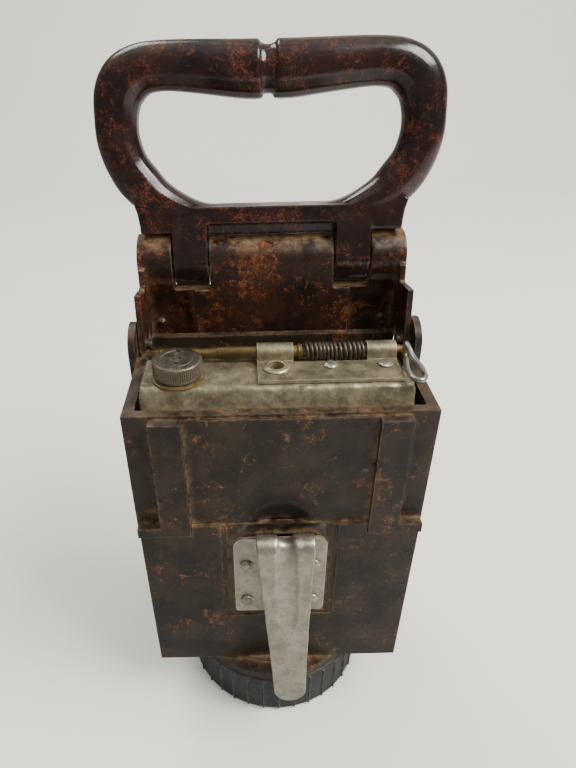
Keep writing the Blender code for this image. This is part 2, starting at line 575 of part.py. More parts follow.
def latch_parts(brass, steel, bright):
    """Sliding bolt with its collar, the coil spring round it, and the wire pull ring."""
    centre = (BOLT_Y, BOLT_Z)
    bolt = disc(centre, BOLT_R, 0, -29.5 * MM, COLLAR_X[0] + MM, 16)
    unite(bolt, disc(centre, 1.5 * MM, 0, BOLT_TIP_X, -29 * MM, 12))
    unite(bolt, disc(centre, 1.6 * MM, 0, COLLAR_X[0], RING_X + 1.2 * MM, 12))
    unite(bolt, disc(centre, 2.8 * MM, 0, *COLLAR_X, 16))
    cut(bolt, disc((RING_X, BOLT_Y), 1.1 * MM, 2, 150 * MM, 170 * MM, 12))
    finish("latch_bolt", bolt, brass, (0, BOLT_Y, BOLT_Z))

    turns, points = 10.5, 8
    start, end = COLLAR_X[1] + 0.8 * MM, WINDOW_X[1] - 0.9 * MM
    total = int(turns * points)
    path = []
    for i in range(total + 1):
        angle = 2 * math.pi * i / points
        path.append(Vector((start + (end - start) * i / total, BOLT_Y + 2.4 * MM * math.cos(angle),
                            BOLT_Z + 2.4 * MM * math.sin(angle))))
    finish("latch_spring", wire(path, 0.45 * MM, 4), steel)

    low, high = BOLT_Z - 2.6 * MM, BOLT_Z + 2.4 * MM
    reach = 20.5 * MM
    path = [Vector((RING_X, BOLT_Y, low)), Vector((RING_X, BOLT_Y, high))]
    arm = [(0.5, 2.2, 0.9), (1.5, 5.0, 0.45), (2.2, 7.6, 0.15), (2.9, 12.5, 0.1), (2.7, 17.0, 0.1),
           (1.6, 19.8, 0)]
    rest_z = BOLT_Z - 0.4 * MM
    for across, forward, rise in arm:
        path.append(Vector((RING_X + across * MM, BOLT_Y - forward * MM, rest_z + (high - rest_z) * rise)))
    path.append(Vector((RING_X, BOLT_Y - reach, rest_z)))
    for across, forward, rise in reversed(arm):
        path.append(Vector((RING_X - across * MM, BOLT_Y - forward * MM, rest_z + (low - rest_z) * rise)))
    finish("pull_ring", wire(path, 0.8 * MM, 8, True), bright, (RING_X, BOLT_Y, BOLT_Z))


def valve_parts(steel, brass):
    """Knurled knob on its needle spindle, and the brass collar that guides the spindle."""
    top = TANK_TOP_Z
    collar = [(1.4 * MM, top - 6 * MM), (2.0 * MM, top - 6 * MM), (2.0 * MM, top + GAP),
              (9.1 * MM, top + GAP), (9.1 * MM, top + 0.9 * MM), (1.4 * MM, top + 0.9 * MM)]
    finish("valve_collar", turned(collar, KNOB_XY, 28), brass)
    spindle = [(0, BAY_FLOOR_Z + 1.6 * MM), (1.1 * MM, BAY_FLOOR_Z + 4 * MM),
               (1.1 * MM, KNOB_TOP_Z + 0.2 * MM), (0, KNOB_TOP_Z + 0.4 * MM)]
    finish("valve_spindle", turned(spindle, KNOB_XY, 12), brass, (*KNOB_XY, 0))
    knob = finned(KNOB_XY, KNOB_R - 0.35 * MM, KNOB_R, 30, top + 1.3 * MM, KNOB_TOP_Z, 0.5)
    cut(knob, disc(KNOB_XY, 1.4 * MM, 2, top, KNOB_TOP_Z + MM, 16))
    x, y = KNOB_XY
    cut(knob, box((x - 0.8 * MM, x + 0.8 * MM), (y - 6.6 * MM, y + 6.6 * MM),
                  (KNOB_TOP_Z - 1.2 * MM, KNOB_TOP_Z + MM)))
    finish("water_valve_knob", knob, steel, (*KNOB_XY, 0))


# ---------------------------------------------------------------- light side

def door_parts(bakelite, glass, steel):
    """Window door with its pane and retaining frame, turn button and blackout flap."""
    half = DOOR_HALF_X
    door = box((-half, half), DOOR_Y, DOOR_Z)
    cut(door, box((-PANE_HALF_X + 2 * MM, PANE_HALF_X - 2 * MM), (20 * MM, 40 * MM),
                  (PANE_Z[0] + 2 * MM, PANE_Z[1] - 2 * MM)))
    cut(door, box((-PANE_HALF_X, PANE_HALF_X), (20 * MM, DOOR_Y[1] - 1.2 * MM), PANE_Z))
    for z in (DOOR_Z[0] + 8 * MM, DOOR_Z[1] - 8 * MM):
        knuckle = disc((DOOR_PIN.x, DOOR_PIN.y), 2.1 * MM, 2, z - 3 * MM, z + 3 * MM, 12)
        arm = box((half - 3 * MM, DOOR_PIN.x), (DOOR_PIN.y - 1.2 * MM, DOOR_PIN.y + 1.4 * MM),
                  (z - 3 * MM, z + 3 * MM))
        unite(door, arm, knuckle)
    for side in (-1, 1):
        lug = arc((FLAP_PIN.y, FLAP_PIN.z), 1.9 * MM, -90, 90, 8)
        lug += [(31.4 * MM, 106.5 * MM), (31.4 * MM, 102.7 * MM)]
        unite(door, prism(lug, 0, *sorted((side * 28.6 * MM, side * 31 * MM))))
    cut(door, disc((DOOR_PIN.x, DOOR_PIN.y), 1.4 * MM, 2, 95 * MM, 150 * MM, 12))
    cut(door, disc((FLAP_PIN.y, FLAP_PIN.z), 1.1 * MM, 0, -40 * MM, 40 * MM, 12))
    finish("window_door", door, bakelite, DOOR_PIN)

    inset = 0.4 * MM
    across = (-PANE_HALF_X + inset, PANE_HALF_X - inset)
    upwards = (PANE_Z[0] + inset, PANE_Z[1] - inset)
    pane = box(across, (29.2 * MM, 30.9 * MM), upwards)
    finish("window_glass", pane, glass, DOOR_PIN)
    frame = box(across, (28.3 * MM, 28.9 * MM), upwards)
    cut(frame, box((-PANE_HALF_X + 2.4 * MM, PANE_HALF_X - 2.4 * MM), (20 * MM, 40 * MM),
                   (PANE_Z[0] + 2.4 * MM, PANE_Z[1] - 2.4 * MM)))
    finish("glass_retainer", frame, steel, DOOR_PIN)

    pin = disc((DOOR_PIN.x, DOOR_PIN.y), 1.1 * MM, 2, DOOR_Z[0] + 1.5 * MM, DOOR_Z[1] - 1.5 * MM, 12)
    bracket = box((DOOR_PIN.x - 2 * MM, DOOR_PIN.x + 2 * MM), (LIGHT_SIDE_Y + GAP, DOOR_PIN.y + 2 * MM),
                  (DOOR_Z[0] + 13 * MM, DOOR_Z[1] - 13 * MM))
    unite(pin, bracket)
    finish("door_hinge_pin", pin, steel)

    x, y, z = BUTTON_PIN
    keeper = box((x - 1.8 * MM, x + 1.8 * MM), (LIGHT_SIDE_Y + GAP, DOOR_Y[1] + 0.1 * MM),
                 (z - 5 * MM, z + 5 * MM))
    cut(keeper, disc((x, z), 1.1 * MM, 1, LIGHT_SIDE_Y + 1.5 * MM, 40 * MM, 12))
    finish("latch_keeper", keeper, steel)
    button = disc((x, z), 2.2 * MM, 1, y, y + 1.7 * MM, 16)
    unite(button, box((x - 1.6 * MM, x + 1.6 * MM), (y, y + 1.3 * MM), (z - 7.2 * MM, z)))
    unite(button, disc((x, z), 0.8 * MM, 1, LIGHT_SIDE_Y + 1.8 * MM, y + MM, 10))
    finish("door_latch", button, steel, BUTTON_PIN)

    pin = disc((FLAP_PIN.y, FLAP_PIN.z), 0.8 * MM, 0, -31 * MM, 31 * MM, 12)
    finish("flap_pin", pin, steel, DOOR_PIN)
    y, z = FLAP_PIN.y, FLAP_PIN.z
    flap = box((-26 * MM, 26 * MM), (y - 0.5 * MM, y + 0.7 * MM), (z - 34 * MM, z - 0.4 * MM))
    unite(flap, disc((y, z), 1.8 * MM, 0, -26 * MM, 26 * MM, 16))
    cut(flap, disc((y, z), 1.1 * MM, 0, -30 * MM, 30 * MM, 16))
    for offset in (-10 * MM, 0, 10 * MM):
        cut(flap, box((offset - 3.6 * MM, offset + 3.6 * MM), (y - 3 * MM, y + 3 * MM),
                      (z - 20.4 * MM, z - 18 * MM)))
    finish("blackout_flap", flap, steel, FLAP_PIN)


# ---------------------------------------------------------------- belt hook

def belt_hook(steel, light):
    """Plate riveted into the housing's recess; the strip folds over its top and hangs in front."""
    front = HOOK_SIDE_Y + MM - GAP - 1.3 * MM
    plate = box((-17.2 * MM, 18 * MM), (front, front + 1.3 * MM), (56 * MM, 96.8 * MM))
    centre_line = [(front + 0.65 * MM, 91), (front + 0.65 * MM, 95.6), (-32.4 * MM, 98.6),
                   (-34.8 * MM, 100.2), (-37.6 * MM, 99.6), (-39.4 * MM, 96.8), (-40.4 * MM, 91),
                   (-42.2 * MM, 78), (-44.4 * MM, 60), (-46.6 * MM, 44), (-48.2 * MM, 33),
                   (-49.3 * MM, 25.5), (-49.8 * MM, 22.0)]
    half_widths = [10.9, 10.9, 10.9, 10.9, 10.8, 10.7, 10.3, 9.4, 8.4, 7.6, 7.0, 5.4, 2.6]
    lean = [1.0, 1.0, 1.0, 1.1, 1.1, 1.2, 1.3, 1.7, 2.3, 2.8, 3.2, 3.4, 3.5]
    path, sections = [], []
    count = len(centre_line)
    for i, (y, z) in enumerate(centre_line):
        back = centre_line[max(i - 1, 0)]
        ahead = centre_line[min(i + 1, count - 1)]
        along = Vector((0, ahead[0] - back[0], (ahead[1] - back[1]) * MM)).normalized()
        lift = Vector((1, 0, 0)).cross(along)
        wide, thick = half_widths[i] * MM, 0.7 * MM
        path.append(Vector((lean[i] * MM, y, z * MM)))
        corners = [(-wide, -thick), (wide, -thick), (wide, thick), (-wide, thick)]
        sections.append((Vector((1, 0, 0)), lift, corners))
    hook = unite(plate, swept(path, sections, False))
    for side in (-1, 1):
        for z in (63 * MM, 83 * MM):
            cut(hook, disc((side * 13 * MM, z), 1.6 * MM, 1, -36 * MM, -29 * MM, 12))
    finish("belt_hook", hook, steel)

    number = 0
    for side in (-1, 1):
        for z in (63 * MM, 83 * MM):
            number += 1
            profile = [(0, -4.2 * MM), (1.3 * MM, -4.2 * MM), (1.3 * MM, GAP), (2.9 * MM, GAP),
                       (2.6 * MM, 1.0 * MM), (1.6 * MM, 1.7 * MM), (0, 1.9 * MM)]
            rivet = turned(profile, (0, 0), 16)
            place = Matrix.Translation((side * 13 * MM, front, z))
            rivet.data.transform(place @ Matrix.Rotation(math.pi / 2, 4, "X"))
            finish("hook_rivet_%d" % number, rivet, light)


# ---------------------------------------------------------------- assembly

def empty(name, place, lean):
    thing = bpy.data.objects.new(name, None)
    bpy.context.scene.collection.objects.link(thing)
    thing.location = place
    thing.rotation_euler = (lean, 0, 0)
    return thing


def main():
    clear_scene()
    bakelite = material("mottled_bakelite", (0.055, 0.022, 0.014), 0.35, 0)
    black = material("black_bakelite", (0.02, 0.02, 0.022), 0.5, 0)
    zinc = material("zinc_sheet", (0.36, 0.34, 0.28), 0.5, 0.8)
    steel = material("dull_steel", (0.42, 0.41, 0.38), 0.45, 0.9)
    dark_steel = material("dark_steel", (0.13, 0.12, 0.10), 0.5, 0.8)
    bright = material("bright_wire", (0.62, 0.61, 0.58), 0.3, 1)
    brass = material("brass", (0.45, 0.30, 0.12), 0.4, 0.9)
    light = material("rivet_aluminium", (0.7, 0.68, 0.62), 0.4, 0.9)
    rubber = material("rubber", (0.03, 0.03, 0.03), 0.8, 0)
    ceramic = material("ceramic", (0.75, 0.72, 0.64), 0.6, 0)
    glass = material("glass", (0.85, 0.9, 0.88), 0.05, 0)

    upper_housing(bakelite)
    lower_housing(bakelite)
    housing_screws(steel)
    base_parts(black, dark_steel, rubber)
    carbide_tin(zinc)
    gas_parts(brass, ceramic, rubber, zinc)

    lid_axis = empty("lid_axis", HINGE, -LID_LEAN)
    lid(bakelite, lid_axis)
    handle(bakelite, lid_axis)
    lid_pins(dark_steel, lid_axis)

    water_tank(zinc)
    bracket_parts(zinc, light)
    latch_parts(brass, dark_steel, bright)
    valve_parts(dark_steel, brass)
    door_parts(bakelite, glass, dark_steel)
    belt_hook(steel, light)

    in_cap = {"base_cap", "base_gasket", "container_spring"}
    for thing in bpy.data.objects:
        if not thing.parent and thing.name not in in_cap:
            thing.location.z += STAND_OFF


main()
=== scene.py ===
"""Looks for the carbide lamp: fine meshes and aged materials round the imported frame.

Lengths are metres; MM turns millimetres into them. Inside a material, lengths are millimetres.
-Y is the side with the belt hook, +Y the side with the light window, +Z up.
"""

import json
import math

import bmesh
import bpy
import numpy as np
from mathutils import Matrix, Vector, noise


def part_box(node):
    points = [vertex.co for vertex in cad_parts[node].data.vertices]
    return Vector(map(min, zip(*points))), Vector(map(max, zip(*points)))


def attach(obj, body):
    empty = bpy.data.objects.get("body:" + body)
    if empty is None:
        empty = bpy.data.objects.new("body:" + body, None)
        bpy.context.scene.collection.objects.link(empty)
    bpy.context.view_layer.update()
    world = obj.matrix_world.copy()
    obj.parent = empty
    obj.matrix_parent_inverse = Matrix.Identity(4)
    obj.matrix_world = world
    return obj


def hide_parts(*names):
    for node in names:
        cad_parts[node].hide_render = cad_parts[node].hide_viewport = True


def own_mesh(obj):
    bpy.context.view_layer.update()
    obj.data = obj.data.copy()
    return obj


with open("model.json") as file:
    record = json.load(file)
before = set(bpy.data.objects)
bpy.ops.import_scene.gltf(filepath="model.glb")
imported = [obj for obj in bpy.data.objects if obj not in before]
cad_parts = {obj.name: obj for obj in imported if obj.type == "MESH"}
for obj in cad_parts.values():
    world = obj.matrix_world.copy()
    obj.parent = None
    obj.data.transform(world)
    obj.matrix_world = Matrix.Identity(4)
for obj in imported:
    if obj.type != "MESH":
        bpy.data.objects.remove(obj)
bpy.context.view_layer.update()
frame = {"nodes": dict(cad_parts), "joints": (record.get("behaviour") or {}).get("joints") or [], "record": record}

MM = 0.001

# Places worked out from the frame
JOINTS = {joint["name"]: joint for joint in frame["joints"]}
HINGE = Vector(JOINTS["lid_hinge"]["pos_m"])
LEAN = math.radians(8)
LID_FRAME = Matrix.Translation(HINGE) @ Matrix.Rotation(-LEAN, 4, "X")
BOLT = Vector(JOINTS["ring_swing"]["pos_m"])
KNOB = Vector(JOINTS["knob_turn"]["pos_m"])

# Outer faces of the housing's hook side, as in the CAD
HOOK_SIDE_Y = -31.4 * MM
PANEL_Y = -29.6 * MM
FOOT_Z = 27.9 * MM


def centre(node):
    low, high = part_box(node)
    return (low + high) / 2


# ---------------------------------------------------------------- meshes

def piece(name, thing, look, body, slot, *stands_for):
    """Names a finished object, gives it its look and lets it ride on its body."""
    thing.name = name
    thing.data.name = name
    thing.data.materials.clear()
    thing.data.materials.append(look)
    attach(thing, body)
    if stands_for:
        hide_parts(*stands_for)
    return thing


def from_bmesh(bm):
    bmesh.ops.recalc_face_normals(bm, faces=bm.faces)
    mesh = bpy.data.meshes.new("mesh")
    bm.to_mesh(mesh)
    bm.free()
    mesh.shade_smooth()
    thing = bpy.data.objects.new("thing", mesh)
    bpy.context.scene.collection.objects.link(thing)
    return thing


def apply_modifiers(thing):
    """Works the modifiers into the mesh."""
    bpy.context.view_layer.update()
    graph = bpy.context.evaluated_depsgraph_get()
    mesh = bpy.data.meshes.new_from_object(thing.evaluated_get(graph))
    thing.modifiers.clear()
    thing.data = mesh
    return thing


def combine(target, tool, operation):
    modifier = target.modifiers.new("combine", "BOOLEAN")
    modifier.operation = operation
    modifier.solver = "EXACT"
    modifier.object = tool
    apply_modifiers(target)
    bpy.data.objects.remove(tool, do_unlink=True)
    return target


def cut(target, *tools):
    for tool in tools:
        combine(target, tool, "DIFFERENCE")
    return target


def unite(target, *tools):
    for tool in tools:
        combine(target, tool, "UNION")
    return target


def prism(outline, axis, low, high):
    """Solid with a flat outline across an axis; the outline's numbers run along the other two axes."""
    bm = bmesh.new()
    rows = []
    for level in (low, high):
        row = []
        for pair in outline:
            place = list(pair)
            place.insert(axis, level)
            row.append(bm.verts.new(place))
        rows.append(row)
    bm.faces.new(rows[0])
    bm.faces.new(rows[1])
    count = len(outline)
    for i in range(count):
        j = (i + 1) % count
        bm.faces.new((rows[0][i], rows[0][j], rows[1][j], rows[1][i]))
    return from_bmesh(bm)


def box(x, y, z):
    return prism([(x[0], y[0]), (x[1], y[0]), (x[1], y[1]), (x[0], y[1])], 2, z[0], z[1])


def arc(middle, radius, start, end, steps):
    angles = [math.radians(start + (end - start) * i / steps) for i in range(steps + 1)]
    return [(middle[0] + radius * math.cos(a), middle[1] + radius * math.sin(a)) for a in angles]


def disc(middle, radius, axis, low, high, steps=48):
    return prism(arc(middle, radius, 0, 360, steps)[:-1], axis, low, high)


def turned(profile, place, steps=48):
    """Body of revolution: a closed profile of (radius, height) about the Z axis of a place."""
    bm = bmesh.new()
    columns = []
    for i in range(steps):
        angle = 2 * math.pi * i / steps
        column = [bm.verts.new((r * math.cos(angle), r * math.sin(angle), h)) for r, h in profile]
        columns.append(column)
    count = len(profile)
    for i in range(steps):
        here, beside = columns[i], columns[(i + 1) % steps]
        for j in range(count):
            k = (j + 1) % count
            if profile[j][0] > 0 or profile[k][0] > 0:
                bm.faces.new((here[j], beside[j], beside[k], here[k]))
    bmesh.ops.remove_doubles(bm, verts=bm.verts, dist=1e-7)
    thing = from_bmesh(bm)
    thing.data.transform(place)
    thing.data.set_sharp_from_angle(angle=math.radians(30))
    return thing


def soft_bar(radius, low, high, soft):
    """Profile of a round bar with broken end edges."""
    return [(0, low), (radius - soft, low), (radius, low + soft),
            (radius, high - soft), (radius - soft, high), (0, high)]


def soft_ring(inner, outer, low, high, soft):
    """Profile of a ring or tube with broken edges."""
    return [(inner, low + soft), (inner + soft, low), (outer - soft, low), (outer, low + soft),
            (outer, high - soft), (outer - soft, high), (inner + soft, high), (inner, high - soft)]


def ball(radius, middle):
    """Finely faceted sphere, for cutting shallow hollows."""
    angles = np.linspace(-math.pi / 2, math.pi / 2, 73)
    profile = [(radius * math.cos(a), radius * math.sin(a)) for a in angles]
    return turned(profile, Matrix.Translation(middle), 120)


def upright(x, y):
    return Matrix.Translation((x, y, 0))


ALONG_X = Matrix.Rotation(math.pi / 2, 4, "Y")
TOWARDS_HOOK_SIDE = Matrix.Rotation(math.pi / 2, 4, "X")


def softened(thing, width, segments=3, angle=32):
    """Rounds the sharp edges and evens the shading of the flats."""
    bevel = thing.modifiers.new("edges", "BEVEL")
    bevel.width = width
    bevel.segments = segments
    bevel.limit_method = "ANGLE"
    bevel.angle_limit = math.radians(angle)
    bevel.miter_outer = "MITER_ARC"
    thing.modifiers.new("shading", "WEIGHTED_NORMAL").keep_sharp = False
    thing.data.shade_smooth()
    return thing


def copy_of(node):
    """The CAD node's mesh as a new object, its flat faces merged."""
    bm = bmesh.new()
    bm.from_mesh(frame["nodes"][node].data)
    bmesh.ops.remove_doubles(bm, verts=bm.verts, dist=1e-6)
    bmesh.ops.dissolve_limit(bm, angle_limit=math.radians(0.8), verts=bm.verts, edges=bm.edges)
    for layer in list(bm.loops.layers.uv):
        bm.loops.layers.uv.remove(layer)
    mesh = bpy.data.meshes.new("copy")
    bm.to_mesh(mesh)
    bm.free()
    thing = bpy.data.objects.new("copy", mesh)
    bpy.context.scene.collection.objects.link(thing)
    return thing


def fused(*things):
    """Several solids as one object; moulding it afterwards makes one skin."""
    bm = bmesh.new()
    for thing in things:
        bm.from_mesh(thing.data)
        bpy.data.objects.remove(thing, do_unlink=True)
    whole = from_bmesh(bm)
    whole.data.set_sharp_from_angle(angle=math.radians(34))
    return whole


def moulded(thing, voxel, passes):
    """One skin of even small faces with softly filleted corners, as a moulding has."""
    remesh = thing.modifiers.new("skin", "REMESH")
    remesh.mode = "VOXEL"
    remesh.voxel_size = voxel
    apply_modifiers(thing)
    smooth = thing.modifiers.new("fillets", "SMOOTH")
    smooth.factor = 0.5
    smooth.iterations = passes
    apply_modifiers(thing)
    thing.data.shade_smooth()
    return thing


def swept(path, sections, closed):
    """Skin through cross-sections: (side, lift, offsets) at each path point."""
    bm = bmesh.new()
    rings = []
    for place, (side, lift, offsets) in zip(path, sections):
        rings.append([bm.verts.new(place + side * a + lift * b) for a, b in offsets])
    last = len(rings) if closed else len(rings) - 1
    for i in range(last):
        here, ahead = rings[i], rings[(i + 1) % len(rings)]
        count = len(here)
        for j in range(count):
            k = (j + 1) % count
            bm.faces.new((here[j], here[k], ahead[k], ahead[j]))
    if not closed:
        bm.faces.new(rings[0])
        bm.faces.new(rings[-1])
    return from_bmesh(bm)


def catmull(points, steps, closed):
    """Smooth curve through number tuples, with so many samples from each point to the next."""
    count = len(points)
    samples = []
    spans = count if closed else count - 1
    for i in range(spans):
        quad = []
        for k in (-1, 0, 1, 2):
            j = (i + k) % count if closed else min(max(i + k, 0), count - 1)
            quad.append(np.array(points[j], float))
        a, b, c, d = quad
        for s in range(steps):
            t = s / steps
            samples.append(0.5 * (2 * b + (c - a) * t + (2 * a - 5 * b + 4 * c - d) * t * t
                                  + (3 * b - a - 3 * c + d) * t ** 3))
    if not closed:
        samples.append(np.array(points[-1], float))
    return samples


def wire(points, radius, sides=16, closed=False, waver=0.0):
    """Round wire through points, with a little unevenness in its thickness."""
    path = [Vector(p) for p in points]
    count = len(path)
    side = None
    sections = []
    for i in range(count):
        back = path[(i - 1) % count] if closed or i else path[i]
        ahead = path[(i + 1) % count] if closed or i < count - 1 else path[i]
        along = (ahead - back).normalized()
        if side is None:
            guess = Vector((0, 0, 1)) if abs(along.z) < 0.8 else Vector((0, 1, 0))
            side = along.cross(guess)
        side = (side - along * side.dot(along)).normalized()
        here = radius * (1 + waver * noise.noise(path[i] / (1.7 * MM)))
        sections.append((side, along.cross(side), arc((0, 0), here, 0, 360, sides)[:-1]))
    return swept(path, sections, closed)


def dented(thing, depth, size, seed=0.0, where=None):
    """Moves the skin in and out by smooth noise; where gives each point's share."""
    mesh = thing.data
    offset = Vector((seed, seed * 0.7, -seed * 1.3))
    directions = [vertex.normal.copy() for vertex in mesh.vertices]
    for vertex, direction in zip(mesh.vertices, directions):
        share = where(vertex.co) if where else 1.0
        if share > 0:
            amount = noise.fractal(vertex.co / size + offset, 0.7, 2.0, 3)
            vertex.co += direction * (depth * amount * share)
    mesh.update()
    return thing


# ---------------------------------------------------------------- looks

class Look:
    """A material's node tree, written with short calls. Lengths in it are millimetres."""

    def __init__(self, name):
        self.material = bpy.data.materials.new(name)
        self.material.use_nodes = True
        self.tree = self.material.node_tree
        self.shader = self.tree.nodes["Principled BSDF"]
        self.geometry = self.node("ShaderNodeNewGeometry")
        place = self.node("ShaderNodeTexCoord").outputs["Object"]
        self.place = self.vector("SCALE", place, 1000.0)
        self.height = None

    def node(self, kind, **settings):
        made = self.tree.nodes.new(kind)
        for key, value in settings.items():
            setattr(made, key, value)
        return made

    def feed(self, socket, value):
        if isinstance(value, bpy.types.NodeSocket):
            self.tree.links.new(value, socket)
        elif socket.type == "RGBA":
            socket.default_value = (*value, 1)
        else:
            socket.default_value = value

    def vector(self, operation, a, b):
        made = self.node("ShaderNodeVectorMath", operation=operation)
        self.feed(made.inputs[0], a)
        self.feed(made.inputs["Scale" if operation == "SCALE" else 1], b)
        return made.outputs[0]

    def calc(self, operation, a, b=0.5):
        made = self.node("ShaderNodeMath", operation=operation)
        made.use_clamp = operation in ("ADD", "SUBTRACT")
        self.feed(made.inputs[0], a)
        self.feed(made.inputs[1], b)
        return made.outputs[0]

    def noise(self, size, detail=4.0, rough=0.55, where=None, twist=0.0):
        """Cloudy noise about 0.5 whose patches are about size across."""
        made = self.node("ShaderNodeTexNoise")
        self.feed(made.inputs["Vector"], where or self.place)
        made.inputs["Scale"].default_value = 1.0 / size
        made.inputs["Detail"].default_value = detail
        made.inputs["Roughness"].default_value = rough
        made.inputs["Distortion"].default_value = twist
        return made.outputs["Fac"]

    def swirl(self, size, reach):
        """The place pushed about by noise, so that patches built on it look stirred."""
        made = self.node("ShaderNodeTexNoise")
        self.feed(made.inputs["Vector"], self.place)
        made.inputs["Scale"].default_value = 1.0 / size
        centred = self.vector("SUBTRACT", made.outputs["Color"], (0.5, 0.5, 0.5))
        return self.vector("ADD", self.place, self.vector("SCALE", centred, reach))

    def stretched(self, x, y, z):
        return self.vector("MULTIPLY", self.place, (1 / x, 1 / y, 1 / z))

    def steps(self, value, low, high, start=0.0, end=1.0):
        """Value run from low..high onto start..end, held at both ends."""
        made = self.node("ShaderNodeMapRange", interpolation_type="SMOOTHSTEP")
        for name, number in (("From Min", low), ("From Max", high), ("To Min", start), ("To Max", end)):
            self.feed(made.inputs[name], number)
        self.feed(made.inputs["Value"], value)
        return made.outputs["Result"]

    def mix(self, share, a, b):
        made = self.node("ShaderNodeMix", data_type="RGBA")
        self.feed(made.inputs["Factor"], share)
        self.feed(made.inputs["A"], a)
        self.feed(made.inputs["B"], b)
        return made.outputs["Result"]

    def near(self, distance, inside):
        """1 in hollows (or, inside, along outer edges), 0 on open flats."""
        made = self.node("ShaderNodeAmbientOcclusion", samples=4, inside=inside, only_local=inside)
        made.inputs["Distance"].default_value = distance * MM
        return self.calc("SUBTRACT", 1.0, made.outputs["AO"])

    def edges(self, distance):
        return self.steps(self.near(distance, True), 0.12, 0.42)

    def hollows(self, distance):
        return self.steps(self.near(distance, False), 0.1, 0.6)

    def facing(self, axis):
        parts = self.node("ShaderNodeSeparateXYZ")
        self.feed(parts.inputs[0], self.geometry.outputs["Normal"])
        return parts.outputs[axis]

    def along(self, axis):
        parts = self.node("ShaderNodeSeparateXYZ")
        self.feed(parts.inputs[0], self.place)
        return parts.outputs[axis]

    def times(self, *values):
        total = values[0]
        for value in values[1:]:
            total = self.calc("MULTIPLY", total, value)
        return total

    def bump(self, height, depth):
        """Adds relief; depth is the height in millimetres of the field's full range."""
        made = self.node("ShaderNodeBump")
        made.inputs["Strength"].default_value = 1.0
        made.inputs["Distance"].default_value = depth * MM
        self.feed(made.inputs["Height"], height)
        if self.height:
            self.feed(made.inputs["Normal"], self.height)
        self.height = made.outputs[0]

    def done(self, colour, roughness, metallic=0.0, **others):
        self.feed(self.shader.inputs["Base Color"], colour)
        self.feed(self.shader.inputs["Roughness"], roughness)
        self.feed(self.shader.inputs["Metallic"], metallic)
        for name, value in others.items():
            self.feed(self.shader.inputs[name.replace("_", " ")], value)
        if self.height:
            self.feed(self.shader.inputs["Normal"], self.height)
        return self.material


def bakelite(name, dark, brown, red, orange, flecks, gloss, dust, grain, rub=(0.11, 0.078, 0.052), film=0.25,
             shine=0.3, shade_and_dirt_place=None):
    """Mottled moulding: stirred rust-coloured flecks in near-black brown, rubbed edges, dusty hollows.

    A place given in millimetres is the middle of a near-black patch: painted shade of the hollow there, with some
    dirt.
    """
    look = Look(name)
    stirred = look.swirl(5.0, 4.0)
    clumps = look.noise(15.0, 3.0, 0.6, stirred)
    fine = look.noise(2.6, 8.0, 0.74, stirred, 0.5)
    field = look.calc("ADD", look.calc("MULTIPLY", fine, 0.55), look.calc("MULTIPLY", clumps, 0.45))
    fleck = look.steps(field, 0.58 - flecks, 0.68 - flecks)
    tone = look.steps(look.noise(2.6, 6.0, 0.7, stirred), 0.42, 0.64)
    base = look.mix(look.steps(look.noise(14.0, 6.0, 0.7), 0.38, 0.64), dark, brown)
    mottled = look.mix(look.steps(look.noise(0.7, 3.0, 0.6), 0.35, 0.6), dark, look.mix(tone, red, orange))
    colour = look.mix(look.times(fleck, 0.92), base, mottled)

    rubbed = look.times(look.edges(0.8), look.steps(look.noise(3.0, 5.0, 0.7), 0.38, 0.62))
    colour = look.mix(look.times(rubbed, 0.6), colour, rub)
    worn = look.steps(look.noise(0.9, 5.0, 0.7, look.stretched(6.0, 1.2, 1.0)), 0.60, 0.74)
    colour = look.mix(look.times(worn, 0.22), colour, rub)

    # Near-black patch round the given place: painted shade of the hollow there, with some dirt.
    if shade_and_dirt_place:
        away = look.node("ShaderNodeVectorMath", operation="DISTANCE")
        look.feed(away.inputs[0], look.swirl(6.0, 5.0))
        look.feed(away.inputs[1], shade_and_dirt_place)
        painted_shade_and_dirt = look.steps(away.outputs["Value"], 10.0, 15.5, 0.9, 0.0)
        colour = look.mix(painted_shade_and_dirt, colour, (0.006, 0.004, 0.003))

    patchy = look.steps(look.noise(5.0, 6.0, 0.7), 0.34, 0.62)
    lying = look.steps(look.facing(2), 0.35, 0.9)
    settled = look.times(look.hollows(3.0), patchy)
    dusty = look.times(lying, look.steps(look.noise(7.0, 6.0, 0.75), 0.40, 0.68), film)
    dirt = look.times(look.calc("ADD", settled, dusty), dust)
    tan = look.mix(look.noise(1.6, 5.0, 0.7), (0.15, 0.08, 0.03), (0.34, 0.235, 0.125))
    colour = look.mix(dirt, colour, tan)

    smear = look.steps(look.noise(11.0, 5.0, 0.7), 0.3, 0.7, gloss, gloss + 0.16)
    roughness = look.calc("ADD", smear, look.times(dirt, 0.5))
    look.bump(look.noise(0.45, 3.0, 0.6), 0.02 * grain)
    look.bump(look.noise(3.2, 4.0, 0.6), 0.10 * grain)
    look.bump(look.times(dirt, look.noise(0.8, 4.0, 0.7)), 0.12)
    return look.done(colour, roughness, Specular_IOR_Level=shine)


